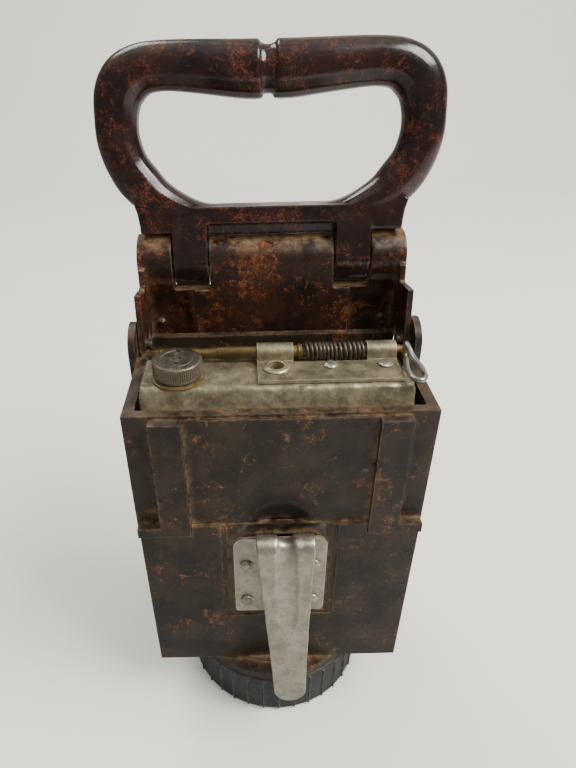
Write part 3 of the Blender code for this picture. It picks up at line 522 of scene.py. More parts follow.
def metal(name, bright, dull, stain, gloss, stains, dirt, metallic=0.9, streaks=0.3, spot_size=3.5):
    """Aged sheet or bar: uneven tarnish, stains, rubbed edges, short fine scratches."""
    look = Look(name)
    tarnish = look.steps(look.noise(7.0, 8.0, 0.75), 0.38, 0.62)
    colour = look.mix(tarnish, bright, dull)
    spots = look.steps(look.noise(spot_size, 7.0, 0.78, look.swirl(6.0, 3.0)), 0.70 - 0.2 * stains,
                       0.80 - 0.2 * stains)
    colour = look.mix(look.times(spots, 0.8), colour, stain)
    rubbed = look.edges(0.5)
    colour = look.mix(look.times(rubbed, 0.6), colour, tuple(min(1.0, c * 1.7) for c in bright))
    upright_lines = look.steps(look.noise(0.5, 4.0, 0.7, look.stretched(1.0, 6.0, 9.0)), 0.56, 0.70)
    patches = look.steps(look.noise(9.0, 3.0), 0.42, 0.6)
    lines = look.times(upright_lines, patches)
    colour = look.mix(look.times(lines, streaks), colour, tuple(min(1.0, c * 1.6) for c in bright))
    settled = look.times(look.hollows(2.2), look.steps(look.noise(3.0, 6.0, 0.7), 0.3, 0.6), dirt)
    grime = look.mix(look.noise(1.5, 5.0, 0.7), (0.05, 0.035, 0.018), (0.26, 0.18, 0.095))
    colour = look.mix(settled, colour, grime)
    roughness = look.steps(look.noise(5.0, 6.0, 0.7), 0.3, 0.7, gloss, gloss + 0.2)
    roughness = look.calc("ADD", roughness, look.times(look.calc("ADD", settled, spots), 0.3))
    dulled = look.calc("ADD", look.times(settled, 0.9), look.times(spots, 0.4))
    shine = look.calc("SUBTRACT", metallic, dulled)
    look.bump(look.noise(0.5, 4.0, 0.6), 0.02)
    look.bump(look.noise(5.0, 3.0, 0.5), 0.14)
    look.bump(look.calc("ADD", look.times(lines, 0.6), look.times(spots, 0.5)), -0.03)
    return look.done(colour, roughness, shine)


def plain_stuff(name, light, dark, gloss, size, relief):
    """Rubber and steatite: two close tones, painted shade in the hollows and a fine grain."""
    look = Look(name)
    colour = look.mix(look.steps(look.noise(size, 6.0, 0.7), 0.35, 0.65), light, dark)
    # Painted shade: hollows darkened towards half the dark tone.
    colour = look.mix(look.times(look.hollows(1.5), 0.5), colour, tuple(c * 0.5 for c in dark))
    look.bump(look.noise(0.4, 4.0, 0.7), relief)
    return look.done(colour, look.steps(look.noise(size * 0.6), 0.3, 0.7, gloss, gloss + 0.15))


def pane_glass():
    look = Look("window_glass")
    smudge = look.steps(look.noise(9.0, 6.0, 0.7), 0.45, 0.7, 0.02, 0.22)
    dusty = look.times(look.steps(look.noise(6.0, 7.0, 0.75), 0.5, 0.75), 0.12)
    look.bump(look.noise(12.0, 2.0), 0.05)
    clear = look.calc("SUBTRACT", 1.0, dusty)
    return look.done((0.86, 0.92, 0.89), smudge, 0.0, Transmission_Weight=clear, IOR=1.5)


# The near-black patch at (1.0, -29.6, 107.6) sits on the hollow above the hook: painted shade of that hollow, with
# some dirt.
BODY = bakelite("bakelite_body",
                dark=(0.0140, 0.0098, 0.0066), brown=(0.028, 0.0175, 0.0105),
                red=(0.090, 0.034, 0.014), orange=(0.18, 0.072, 0.022),
                flecks=0.046, gloss=0.36, dust=0.85, grain=1.0, shade_and_dirt_place=(1.0, -29.6, 107.6))
LID = bakelite("bakelite_lid",
               dark=(0.0105, 0.0060, 0.0045), brown=(0.030, 0.0120, 0.0066),
               red=(0.105, 0.022, 0.009), orange=(0.18, 0.058, 0.017),
               flecks=0.068, gloss=0.24, dust=0.9, grain=1.0, film=0.6)
HANDLE = bakelite("bakelite_handle",
                  dark=(0.0080, 0.0045, 0.0042), brown=(0.021, 0.0075, 0.0062),
                  red=(0.085, 0.0165, 0.0085), orange=(0.105, 0.031, 0.012),
                  flecks=0.085, gloss=0.13, dust=0.25, grain=0.5, shine=0.5)
BLACK = bakelite("black_bakelite",
                 dark=(0.015, 0.017, 0.018), brown=(0.025, 0.026, 0.026),
                 red=(0.04, 0.036, 0.032), orange=(0.06, 0.05, 0.04),
                 flecks=-0.12, gloss=0.36, dust=0.3, grain=0.7, rub=(0.075, 0.078, 0.078))
ZINC = metal("zinc_sheet", (0.30, 0.255, 0.155), (0.150, 0.132, 0.085), (0.055, 0.045, 0.026),
             gloss=0.34, stains=0.75, dirt=0.9, metallic=0.75, streaks=0.45, spot_size=6.0)
HOOK_STEEL = metal("galvanised_steel", (0.47, 0.43, 0.345), (0.32, 0.29, 0.225), (0.09, 0.058, 0.032),
                   gloss=0.30, stains=0.42, dirt=0.6, streaks=0.15, spot_size=6.0)
TIN = metal("tin_plate", (0.45, 0.44, 0.40), (0.30, 0.29, 0.25), (0.16, 0.10, 0.05),
            gloss=0.3, stains=0.6, dirt=0.5)
WIRE = metal("bright_wire", (0.45, 0.45, 0.42), (0.33, 0.33, 0.30), (0.18, 0.16, 0.12),
             gloss=0.26, stains=0.2, dirt=0.6, metallic=1.0)
BRASS = metal("old_brass", (0.19, 0.125, 0.045), (0.105, 0.076, 0.034), (0.05, 0.038, 0.020),
              gloss=0.36, stains=0.65, dirt=0.9)
DARK = metal("dark_steel", (0.125, 0.107, 0.078), (0.066, 0.057, 0.042), (0.085, 0.048, 0.022),
             gloss=0.33, stains=0.45, dirt=0.8)
RIVET = metal("rivet_aluminium", (0.46, 0.42, 0.34), (0.30, 0.27, 0.21), (0.12, 0.09, 0.055),
              gloss=0.28, stains=0.4, dirt=0.9)
MIRROR = metal("bright_reflector", (0.70, 0.70, 0.66), (0.55, 0.54, 0.48), (0.28, 0.22, 0.12),
               gloss=0.12, stains=0.3, dirt=0.4, metallic=1.0)
RUBBER = plain_stuff("rubber", (0.030, 0.029, 0.028), (0.016, 0.015, 0.014), 0.7, 4.0, 0.05)
STEATITE = plain_stuff("steatite", (0.72, 0.69, 0.60), (0.55, 0.50, 0.40), 0.5, 2.0, 0.03)
GLASS = pane_glass()


LOOKS = {"zinc_sheet": ZINC, "galvanised_steel": HOOK_STEEL, "tin_plate": TIN, "bright_wire": WIRE,
         "old_brass": BRASS, "dark_steel": DARK, "rivet_aluminium": RIVET, "bright_reflector": MIRROR,
         "rubber": RUBBER, "steatite": STEATITE, "window_glass": GLASS, "bakelite_body": BODY,
         "bakelite_lid": LID, "bakelite_handle": HANDLE, "black_bakelite": BLACK}
SLOT_OF = {part["node"]: part["material_slot"] for part in frame["record"]["subparts"]}
BODY_OF = {node: body for body, nodes in frame["record"]["behaviour"]["bodies"].items() for node in nodes}


def fine(node, thing):
    """The thing takes the CAD node's place, with that node's material and body."""
    return piece(node + "_fine", thing, LOOKS[SLOT_OF[node]], BODY_OF[node], SLOT_OF[node], node)


# ---------------------------------------------------------------- housing

def housing():
    """The two halves with broken edges. Patches make the hollow above the hook shallower than the CAD's."""
    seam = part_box("upper_housing")[0].z
    upper = softened(copy_of("upper_housing"), 0.6 * MM)
    apply_modifiers(upper)
    patch = box((-15 * MM, 17 * MM), (PANEL_Y + 0.05 * MM, -24.6 * MM), (seam + 4.4 * MM, seam + 18 * MM))
    combine(patch, ball(18.55 * MM, (MM, -43 * MM, seam + 2 * MM)), "INTERSECT")
    cut(patch, ball(30 * MM, (MM, PANEL_Y - 28 * MM, seam + 2.2 * MM)))
    patch.data.set_sharp_from_angle(angle=math.radians(30))
    fine("upper_housing", fused(upper, patch))

    lower = copy_of("lower_housing")
    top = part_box("lower_housing")[1].z
    recess_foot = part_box("belt_hook")[0].z + 30.4 * MM
    cut(lower, box((-21.8 * MM, 21.8 * MM), (HOOK_SIDE_Y - 3 * MM, HOOK_SIDE_Y + 0.45 * MM),
                   (recess_foot, top + 3 * MM)))
    apply_modifiers(softened(lower, 0.6 * MM))
    patch = box((-15 * MM, 17 * MM), (HOOK_SIDE_Y + 1.05 * MM, -28 * MM), (seam - 1.2 * MM, top - 0.1 * MM))
    cap_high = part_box("base_cap")[1]
    low, rim = cap_high.z + 0.4 * MM, cap_high.x - 1.1 * MM
    collar = turned([(33.5 * MM, low), (rim - 0.4 * MM, low), (rim, low + 0.4 * MM), (rim, FOOT_Z - 1.4 * MM),
                     (rim - 0.5 * MM, FOOT_Z - 0.9 * MM), (33.5 * MM, FOOT_Z - 0.9 * MM)],
                    Matrix.Identity(4), 128)
    neck = [(33.0 * MM, cap_high.z), (33.9 * MM, cap_high.z), (33.9 * MM, FOOT_Z), (33.0 * MM, FOOT_Z)]
    neck = turned(neck, Matrix.Identity(4), 96)
    fine("lower_housing", fused(lower, patch, collar, neck))

    for number in range(1, 5):
        node = "housing_screw_%d" % number
        fine(node, softened(copy_of(node), 0.2 * MM, 2))
    for node in ("lid_pin_left", "lid_pin_right"):
        low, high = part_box(node)
        profile = soft_bar((high.z - low.z) / 2, low.x, high.x, 0.4 * MM)
        fine(node, turned(profile, Matrix.Translation((0, HINGE.y, HINGE.z)) @ ALONG_X))


# ---------------------------------------------------------------- lid and handle
# Drawn in the lid's own frame: X across, Y outwards (w), Z from the hinge to the free end (u).

BARREL_W, BARREL_U = (LID_FRAME.inverted() @ Vector(JOINTS["handle_hinge"]["pos_m"])).yz
BARREL_R = 9.0 * MM
KNUCKLE_R = 10.3 * MM
PIN_HOLE_R = 3.3 * MM
LUG_X = (24.8 * MM, 38.2 * MM)
SLOT_X = (24.3 * MM, 38.9 * MM)


def lid():
    barrel = (BARREL_W, BARREL_U)
    half, inside, ceiling = 52 * MM, 49.5 * MM, 19 * MM
    side = [(-2.7, -3.0), (17.0, -3.0), (18.6, -4.2), (22.0, -4.2), (22.0, 15.0), (23.2, 18.0)]
    side = [(w * MM, u * MM) for w, u in side] + arc(barrel, BARREL_R, -45, 180, 40)
    side += [(10.6 * MM, 26 * MM), (10.6 * MM, 19.9 * MM), (-2.7 * MM, 19.9 * MM)]
    body = prism(side, 0, -half, half)
    meet = math.degrees(math.acos((BARREL_W - ceiling) / BARREL_R))
    hollow = [(-5, 50), (-5, -6), (19, -6), (19, 6), (18.6, 9.6), (17.6, 13), (16, 16.4), (13.9, 20)]
    hollow = [(w * MM, u * MM) for w, u in hollow] + arc(barrel, BARREL_R, 190, 180 - meet, 20)
    hollow += [(ceiling, 50 * MM)]
    cut(body, prism(hollow, 0, -inside, inside))
    pad = [(13.6, 26), (13.9, 18), (14.6, 8), (15.2, -2), (20.5, -2), (20.5, 26)]
    unite(body, prism([(w * MM, u * MM) for w, u in pad], 0, -31 * MM, 31 * MM))
    slot = [(5 * MM, 17.2 * MM), (18.3 * MM, 17.2 * MM)] + arc(barrel, 10.45 * MM, -114, -80, 10)
    slot += [(40 * MM, 17.7 * MM), (40 * MM, 50 * MM), (5 * MM, 50 * MM)]
    for end in (-1, 1):
        unite(body, disc(barrel, KNUCKLE_R, 0, *sorted((end * SLOT_X[1], end * (half + 0.4 * MM))), 72))
        cut(body, prism(slot, 0, *sorted((end * SLOT_X[0], end * SLOT_X[1]))))
        cut(body, disc((0, 0), 2.3 * MM, 0, *sorted((end * 46 * MM, end * 57 * MM)), 32))
        pip = turned([(0, -0.6 * MM), (1.7 * MM, -0.6 * MM), (1.7 * MM, 0.6 * MM), (1.1 * MM, 1.3 * MM),
                      (0, 1.6 * MM)], Matrix.Translation((end * 45.5 * MM, ceiling, 2.6 * MM))
                     @ TOWARDS_HOOK_SIDE, 20)
        unite(body, pip)
    cut(body, disc(barrel, PIN_HOLE_R, 0, -60 * MM, 60 * MM, 40))
    cut(body, disc((BOLT.z - HINGE.z, HINGE.y - BOLT.y), 1.8 * MM, 0, -56 * MM, -46 * MM, 20))
    moulded(body, 0.45 * MM, 2)
    body.data.transform(LID_FRAME)
    fine("lid", body)


def loop_stations():
    """Centre line of the carrying loop: across, from the hinge, half width and half depth, all mm."""
    grip = [(0.0, 94.5, 7.8, 7.4), (1.3, 94.5, 7.8, 7.4), (1.7, 94.5, 8.2, 7.8), (2.1, 94.5, 8.2, 7.8),
            (2.5, 94.5, 7.9, 7.5), (3.0, 94.5, 9.1, 8.6), (3.8, 94.5, 9.5, 9.0), (9.0, 94.6, 9.4, 9.0)]
    half = grip + [(15.0, 95.0, 9.1, 8.8), (28.0, 95.9, 8.4, 8.0), (38.0, 96.2, 8.0, 7.6),
                   (45.6, 95.3, 8.2, 7.5), (51.3, 92.2, 8.8, 7.4), (54.9, 87.0, 8.6, 7.3),
                   (56.3, 79.5, 8.0, 7.2), (56.2, 71.8, 8.0, 7.2), (53.8, 63.8, 8.0, 7.2),
                   (49.3, 57.0, 8.2, 7.2), (42.0, 50.8, 7.0, 7.0), (28.0, 46.3, 3.9, 6.6),
                   (14.0, 45.5, 3.0, 6.4), (0.0, 45.5, 3.0, 6.4)]
    loop = half + [(-x, u, width, depth) for x, u, width, depth in half[-2:0:-1]]
    return [(x - 0.85 * max(0.0, 1 - abs(x) / 25), u, width, depth) for x, u, width, depth in loop]


def loop_section(width, depth):
    """Round outside, three flats towards the hand."""
    offsets = []
    for i in range(17):
        angle = math.radians(-90 + 180 * i / 16)
        rise = math.copysign(abs(math.sin(angle)) ** 0.9, angle)
        offsets.append((width * math.cos(angle) ** 0.9, rise * depth))
    for a, b in ((-0.40, 0.96), (-0.78, 0.70), (-0.97, 0.38), (-1.0, 0.0), (-0.97, -0.38), (-0.78, -0.70),
                 (-0.40, -0.96)):
        offsets.append((width * a, depth * b))
    return offsets


def handle():
    stations = catmull(loop_stations(), 8, True)
    path, sections = [], []
    count = len(stations)
    for i, (x, u, width, depth) in enumerate(stations):
        back, ahead = stations[i - 1], stations[(i + 1) % count]
        along = Vector((ahead[0] - back[0], 0, ahead[1] - back[1])).normalized()
        path.append(Vector((x * MM, BARREL_W, u * MM)))
        outwards = Vector((-along.z, 0, along.x))
        sections.append((outwards, Vector((0, 1, 0)), loop_section(width * MM, depth * MM)))
    loop = swept(path, sections, True)
    barrel = (BARREL_W, BARREL_U)
    front, back = BARREL_W - 6.6 * MM, BARREL_W + 6.6 * MM
    bar = box((-36 * MM, 36 * MM), (front, back), (BARREL_U + 14.3 * MM, BARREL_U + 20.6 * MM))
    parts = [loop, bar]
    for end in (-1, 1):
        outline = arc(barrel, 10.2 * MM, 180, 360, 40) + [(back - 0.2 * MM, 46.3 * MM), (front, 46.3 * MM)]
        lug = prism(outline, 0, *sorted((end * LUG_X[0], end * LUG_X[1])))
        parts.append(cut(lug, disc(barrel, PIN_HOLE_R, 0, -42 * MM, 42 * MM, 40)))
        corner = [(31.0, 39.1), (50.3, 39.1), (50.5, 43.0), (51.0, 46.7), (52.0, 50.0), (47.3, 53.1),
                  (33.7, 48.5)]
        corner = [(end * x * MM, u * MM) for x, u in corner]
        parts.append(prism(corner, 1, front - 0.2 * MM, back + 0.2 * MM))
    web = arc(barrel, BARREL_R + 0.6 * MM, 100, 30, 20)
    web += [(33.4 * MM, 34.3 * MM), (28.2 * MM, 45.3 * MM), (19.6 * MM, 45.3 * MM)]
    parts.append(prism(web, 0, -26 * MM, 26 * MM))
    body = moulded(fused(*parts), 0.5 * MM, 3)
    body.data.transform(LID_FRAME)
    fine("handle", body)

    low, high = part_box("handle_pin")
    place = Matrix.Translation((0, BARREL_W, BARREL_U)) @ ALONG_X
    fine("handle_pin", turned(soft_bar(3.0 * MM, low.x, high.x, 0.5 * MM), LID_FRAME @ place))


# ---------------------------------------------------------------- water tank and its fittings

TANK_LOW, TANK_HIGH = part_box("water_tank")
PLATE_TOP = TANK_HIGH.z + 1.5 * MM
EYELET = centre("filler_eyelet")


def tank():
    top, foot = TANK_HIGH.z, TANK_LOW.z
    rim = top - 8 * MM
    section = [(-1.2 * MM, foot)] + arc((-1.9 * MM, top - 0.7 * MM), 0.7 * MM, 0, 90, 4)
    section += arc((-19.7 * MM, top - 2.4 * MM), 2.4 * MM, 90, 168, 10)
    section += [(-23.9 * MM, rim), (-23.9 * MM, foot)]
    body = prism(section, 0, TANK_LOW.x, TANK_HIGH.x)
    for vertex in body.data.vertices:
        forward = min(1.0, max(0.0, (-vertex.co.y - 8 * MM) / (12 * MM)))
        if vertex.co.x > 0:
            vertex.co.x += 2.4 * MM * forward
    cut(body, disc((EYELET.x, EYELET.y), 3.3 * MM, 2, top - 20 * MM, top + MM, 32))
    cut(body, disc((KNOB.x, KNOB.y), 2.4 * MM, 2, top - 9 * MM, top + MM, 24))
    for number in (1, 2):
        middle = centre("bracket_rivet_%d" % number)
        cut(body, disc((middle.x, middle.y), 1.6 * MM, 2, top - 4 * MM, top + MM, 20))
    moulded(body, 0.55 * MM, 2)
    band = lambda place: 1.0 if place.y < -20 * MM else 0.35
    dented(body, 0.35 * MM, 9 * MM, 0.4, band)
    body.data.shade_smooth()
    fine("water_tank", body)


def bracket():
    top = TANK_HIGH.z
    low, high = top + 0.3 * MM, PLATE_TOP
    middle = (BOLT.y, BOLT.z)
    section = [(-20 * MM, low), (BOLT.y - 2.7 * MM, low)]
    section += arc(middle, 2.6 * MM, 180, -20, 28) + arc(middle, 3.4 * MM, -20, 168, 28)
    section += [(BOLT.y - 3.55 * MM, high + 0.25 * MM), (BOLT.y - 4.0 * MM, high), (-20 * MM, high)]
    cad_low, cad_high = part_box("tank_bracket")
    body = prism(section, 0, cad_low.x, cad_high.x + 0.5 * MM)
    cut(body, box((5.6 * MM, 31.3 * MM), (BOLT.y - 4 * MM, 5 * MM), (top - 5 * MM, top + 12 * MM)))
    cut(body, disc((EYELET.x, EYELET.y), 3.3 * MM, 2, top - 5 * MM, top + 9 * MM, 40))
    for number in (1, 2):
        rivet = centre("bracket_rivet_%d" % number)
        cut(body, disc((rivet.x, rivet.y), 1.6 * MM, 2, top - 5 * MM, top + 9 * MM, 24))
        profile = [(0, high - 3.4 * MM), (1.3 * MM, high - 3.4 * MM), (1.3 * MM, high + 0.3 * MM),
                   (2.5 * MM, high + 0.3 * MM), (2.45 * MM, high + 0.6 * MM), (2.0 * MM, high + 0.95 * MM),
                   (1.2 * MM, high + 1.15 * MM), (0, high + 1.2 * MM)]
        dome = turned(profile, upright(rivet.x, rivet.y), 40)
        dented(dome, 0.22 * MM, 1.6 * MM, number * 3.0, lambda p: 1.0 if p.z > high + 0.5 * MM else 0.0)
        fine("bracket_rivet_%d" % number, dome)
    fine("tank_bracket", softened(body, 0.22 * MM))
    profile = [(2.5 * MM, high - 3.0 * MM), (3.0 * MM, high - 3.0 * MM), (3.0 * MM, high + 0.3 * MM),
               (4.7 * MM, high + 0.3 * MM), (4.5 * MM, high + 0.55 * MM), (3.7 * MM, high + 1.0 * MM),
               (3.1 * MM, high + 1.1 * MM), (2.7 * MM, high + 0.9 * MM)]
    fine("filler_eyelet", turned(profile, upright(EYELET.x, EYELET.y), 48))


def latch():
    along = Matrix.Translation((0, BOLT.y, BOLT.z)) @ ALONG_X
    tip = -42.0 * MM
    ring = BOLT.x
    profile = [(0, tip), (1.3, tip + 0.5 * MM), (1.8, tip + 1.2 * MM), (1.8, -21.0 * MM), (2.1, -20.8 * MM),
               (2.2, -20.4 * MM), (2.2, 2.0 * MM), (2.15, 7.1 * MM), (2.5, 7.2 * MM), (2.8, 7.5 * MM),
               (2.8, 8.5 * MM), (2.5, 8.8 * MM), (1.6, 8.9 * MM), (1.6, ring + 0.6 * MM),
               (1.1, ring + 1.2 * MM), (0, ring + 1.3 * MM)]
    bolt = turned([(r if r == 0 else r * MM, h) for r, h in profile], along, 40)
    cut(bolt, disc((ring, BOLT.y), 1.1 * MM, 2, BOLT.z - 5 * MM, BOLT.z + 5 * MM, 24))
    bolt.data.set_sharp_from_angle(angle=math.radians(30))
    fine("latch_bolt", bolt)

    start, end = 9.8 * MM, 30.6 * MM
    total = 14 * 20
    path = []
    for i in range(total + 1):
        share = i / total
        angle = 2 * math.pi * i / 20
        shift = 0.35 * MM * math.sin(3 * math.pi * share)
        path.append((start + (end - start) * share + shift, BOLT.y + 2.7 * MM * math.cos(angle),
                     BOLT.z + 2.7 * MM * math.sin(angle)))
    spring = fine("latch_spring", wire(path, 0.62 * MM, 10))
    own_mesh(spring)

    low, high, rest = BOLT.z - 2.6 * MM, BOLT.z + 2.1 * MM, BOLT.z - 0.3 * MM
    # Sideways from the bolt's hole, forwards, and the share of the height left to lose
    arm = [(0.4, 2.2, 0.9), (1.0, 5.0, 0.3), (1.6, 8.0, 0.1), (2.4, 12.5, 0.05), (2.4, 17.0, 0.0),
           (1.5, 19.6, 0)]
    corners = [(ring, BOLT.y, low), (ring, BOLT.y, BOLT.z), (ring, BOLT.y, high)]
    corners += [(ring + a * MM, BOLT.y - f * MM, rest + (high - rest) * r) for a, f, r in arm]
    corners += [(ring, BOLT.y - 20.5 * MM, rest)]
    corners += [(ring - a * MM, BOLT.y - f * MM, rest + (low - rest) * r) for a, f, r in reversed(arm)]
    fine("pull_ring", wire(catmull(corners, 6, True), 0.95 * MM, 16, True, 0.01))


def knurled(radius, depth, count, low, high):
    """Cylinder with rounded upright ridges."""
    outline = []
    for i in range(count):
        for part, share in ((0.0, 0.0), (0.22, 0.12), (0.4, 0.8), (0.5, 1.0), (0.6, 0.8), (0.78, 0.12)):
            angle = 2 * math.pi * (i + part) / count
            reach = radius - depth * (1 - share)
            outline.append((reach * math.cos(angle), reach * math.sin(angle)))
    return prism(outline, 2, low, high)


def valve():
    low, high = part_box("water_valve_knob")
    ridged = knurled(8.45 * MM, 0.35 * MM, 72, low.z + 1.0 * MM, high.z - 0.55 * MM)
    ridged.data.transform(upright(KNOB.x, KNOB.y))
    ridged.data.set_sharp_from_angle(angle=math.radians(60))
    core = [(1.4, low.z), (7.9, low.z), (8.3, low.z + 0.3 * MM), (8.3, low.z + 0.9 * MM),
            (7.9, low.z + 1.2 * MM), (7.9, high.z - 0.8 * MM), (8.1, high.z - 0.6 * MM),
            (8.15, high.z - 0.45 * MM), (7.7, high.z - 0.05 * MM), (7.4, high.z), (5.7, high.z),
            (5.55, high.z - 0.25 * MM), (5.35, high.z - 0.25 * MM), (5.2, high.z), (1.4, high.z)]
    cap = turned([(r * MM, h) for r, h in core], upright(KNOB.x, KNOB.y), 96)
    for knob in (ridged, cap):
        cut(knob, box((KNOB.x - 0.8 * MM, KNOB.x + 0.8 * MM), (KNOB.y - 6.6 * MM, KNOB.y + 6.6 * MM),
                      (high.z - 1.2 * MM, high.z + MM)))
    whole = fused(cut(ridged, disc((KNOB.x, KNOB.y), 7.0 * MM, 2, low.z, high.z, 48)), cap)
    whole.data.set_sharp_from_angle(angle=math.radians(34))
    fine("water_valve_knob", whole)

    low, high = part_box("valve_collar")
    flange = TANK_HIGH.z
    profile = [(1.4, low.z), (2.0, low.z), (2.0, flange + 0.3 * MM), (8.9, flange + 0.3 * MM),
               (9.1, flange + 0.45 * MM), (9.0, flange + 0.75 * MM), (8.7, high.z), (1.4, high.z)]
    fine("valve_collar", turned([(r * MM, h) for r, h in profile], upright(KNOB.x, KNOB.y), 64))
    low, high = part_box("valve_spindle")
    profile = [(0, low.z), (0.4, low.z + 0.4 * MM), (1.1, low.z + 2.4 * MM), (1.1, high.z - 1.3 * MM),
               (0.8, high.z - MM), (0, high.z - MM)]
    fine("valve_spindle", turned([(r * MM, h) for r, h in profile], upright(KNOB.x, KNOB.y), 24))


# ---------------------------------------------------------------- belt hook

def belt_hook():
    low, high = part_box("belt_hook")
    tip = low.z
    back = high.y
    face = back - 1.3 * MM
    plate_top = tip + 74.8 * MM
    outline = arc((14.0 * MM, plate_top - 4 * MM), 4.0 * MM, 0, 90, 10)
    outline += arc((-13.2 * MM, plate_top - 4 * MM), 4.0 * MM, 90, 180, 10)
    outline += [(-17.2 * MM, tip + 35.2 * MM), (-16.2 * MM, tip + 34 * MM), (16.8 * MM, tip + 34 * MM),
                (18 * MM, tip + 35.4 * MM)]
    plate = prism(outline, 1, face, back)
    # Strip's centre line: Y, height above the tip, half width and sideways lean, all mm
    line = [(-31.75, 69.0, 10.7, 1.9), (-31.75, 73.6, 10.7, 1.9), (-32.4, 76.6, 10.7, 1.9),
            (-34.8, 78.2, 10.7, 1.9), (-37.6, 77.6, 10.6, 1.9), (-39.4, 74.8, 10.4, 2.0),
            (-40.4, 69, 10.0, 2.1), (-42.2, 56, 9.1, 2.4), (-44.4, 38, 8.0, 2.9), (-46.6, 22, 7.1, 3.4),
            (-48.2, 11, 6.6, 3.8), (-49.1, 4.5, 6.3, 4.0), (-49.8, 0, 6.0, 4.1)]
    shift = face / MM + 0.65 + 31.75
    samples = catmull([(y + shift * max(0, 1 - i / 3), z, w, l) for i, (y, z, w, l) in enumerate(line)],
                      10, False)
    lengths = [0.0]
    for one, two in zip(samples, samples[1:]):
        lengths.append(lengths[-1] + math.hypot(two[0] - one[0], two[1] - one[1]))
    total, fold = lengths[-1], lengths[30]
    across = 44
    path, sections = [], []
    for i, (y, z, wide, lean) in enumerate(samples):
        one, two = samples[max(i - 1, 0)], samples[min(i + 1, len(samples) - 1)]
        along = Vector((0, two[0] - one[0], two[1] - one[1])).normalized()
        lift = Vector((1, 0, 0)).cross(along)
        left = total - lengths[i]
        if left < 6.6:
            wide = min(wide, math.sqrt(max(0.05, 6.6 ** 2 - (6.6 - left) ** 2)))
        run = lengths[i] - fold
        groove = min(1.0, max(0.0, (41 - run) / 3.5)) ** 0.5 if run < 41 else 0.0
        sharp = max(0.0, 1 - abs(run) / 9)
        front, rear = [], []
        for k in range(across + 1):
            a = wide * math.copysign(1 - (1 - abs(2 * k / across - 1)) ** 1.35, 2 * k - across)
            reach = 4.0 - 1.0 * sharp
            if run > 36:
                reach *= math.sqrt(max(0.0, 1 - ((run - 36) / 5) ** 2)) if run < 41 else 0
            bowl = max(0.0, 1 - (abs(a) / max(reach, 0.01)) ** 2) if reach > 0.3 else 0.0
            dip = (1.25 + 0.5 * sharp) * groove * bowl ** (0.6 if sharp < 0.5 else 0.9)
            rim = max(0.0, abs(a) - wide + 0.35)
            front.append((a * MM, (-0.7 + dip + rim * rim * 2.2) * MM))
            rear.append((a * MM, (0.7 + 0.8 * dip - rim * rim * 2.2) * MM))
        path.append(Vector((lean * MM, y * MM, tip + z * MM)))
        sections.append((Vector((1, 0, 0)), lift, front + rear[::-1]))
    strip = dented(swept(path, sections, False), 0.18 * MM, 8 * MM, 2.0)
    for x, z in ((-13, 41), (13, 41), (-13, 61), (13, 61)):
        cut(plate, disc((x * MM, tip + z * MM), 1.6 * MM, 1, -36 * MM, -29 * MM, 24))
    softened(plate, 0.3 * MM)
    apply_modifiers(plate)
    hook = fused(plate, strip)
    hook.data.set_sharp_from_angle(angle=math.radians(50))
    fine("belt_hook", hook)

    for number in range(1, 5):
        node = "hook_rivet_%d" % number
        middle = centre(node)
        profile = [(0, -4.2), (1.3, -4.2), (1.3, 0.3), (2.4, 0.3), (2.5, 0.5), (2.3, 0.95), (1.8, 1.3),
                   (1.0, 1.55), (0, 1.6)]
        place = Matrix.Translation((middle.x + 0.4 * MM, face, middle.z)) @ TOWARDS_HOOK_SIDE
        dome = turned([(r * MM, h * MM) for r, h in profile], place, 40)
        uneven = 0.2 if number in (1, 2) else 0.12
        dented(dome, uneven * MM, 1.9 * MM, number * 2.7, lambda p: 1.0 if p.y < face - 0.8 * MM else 0.0)
        fine(node, dome)


# ---------------------------------------------------------------- base and generator

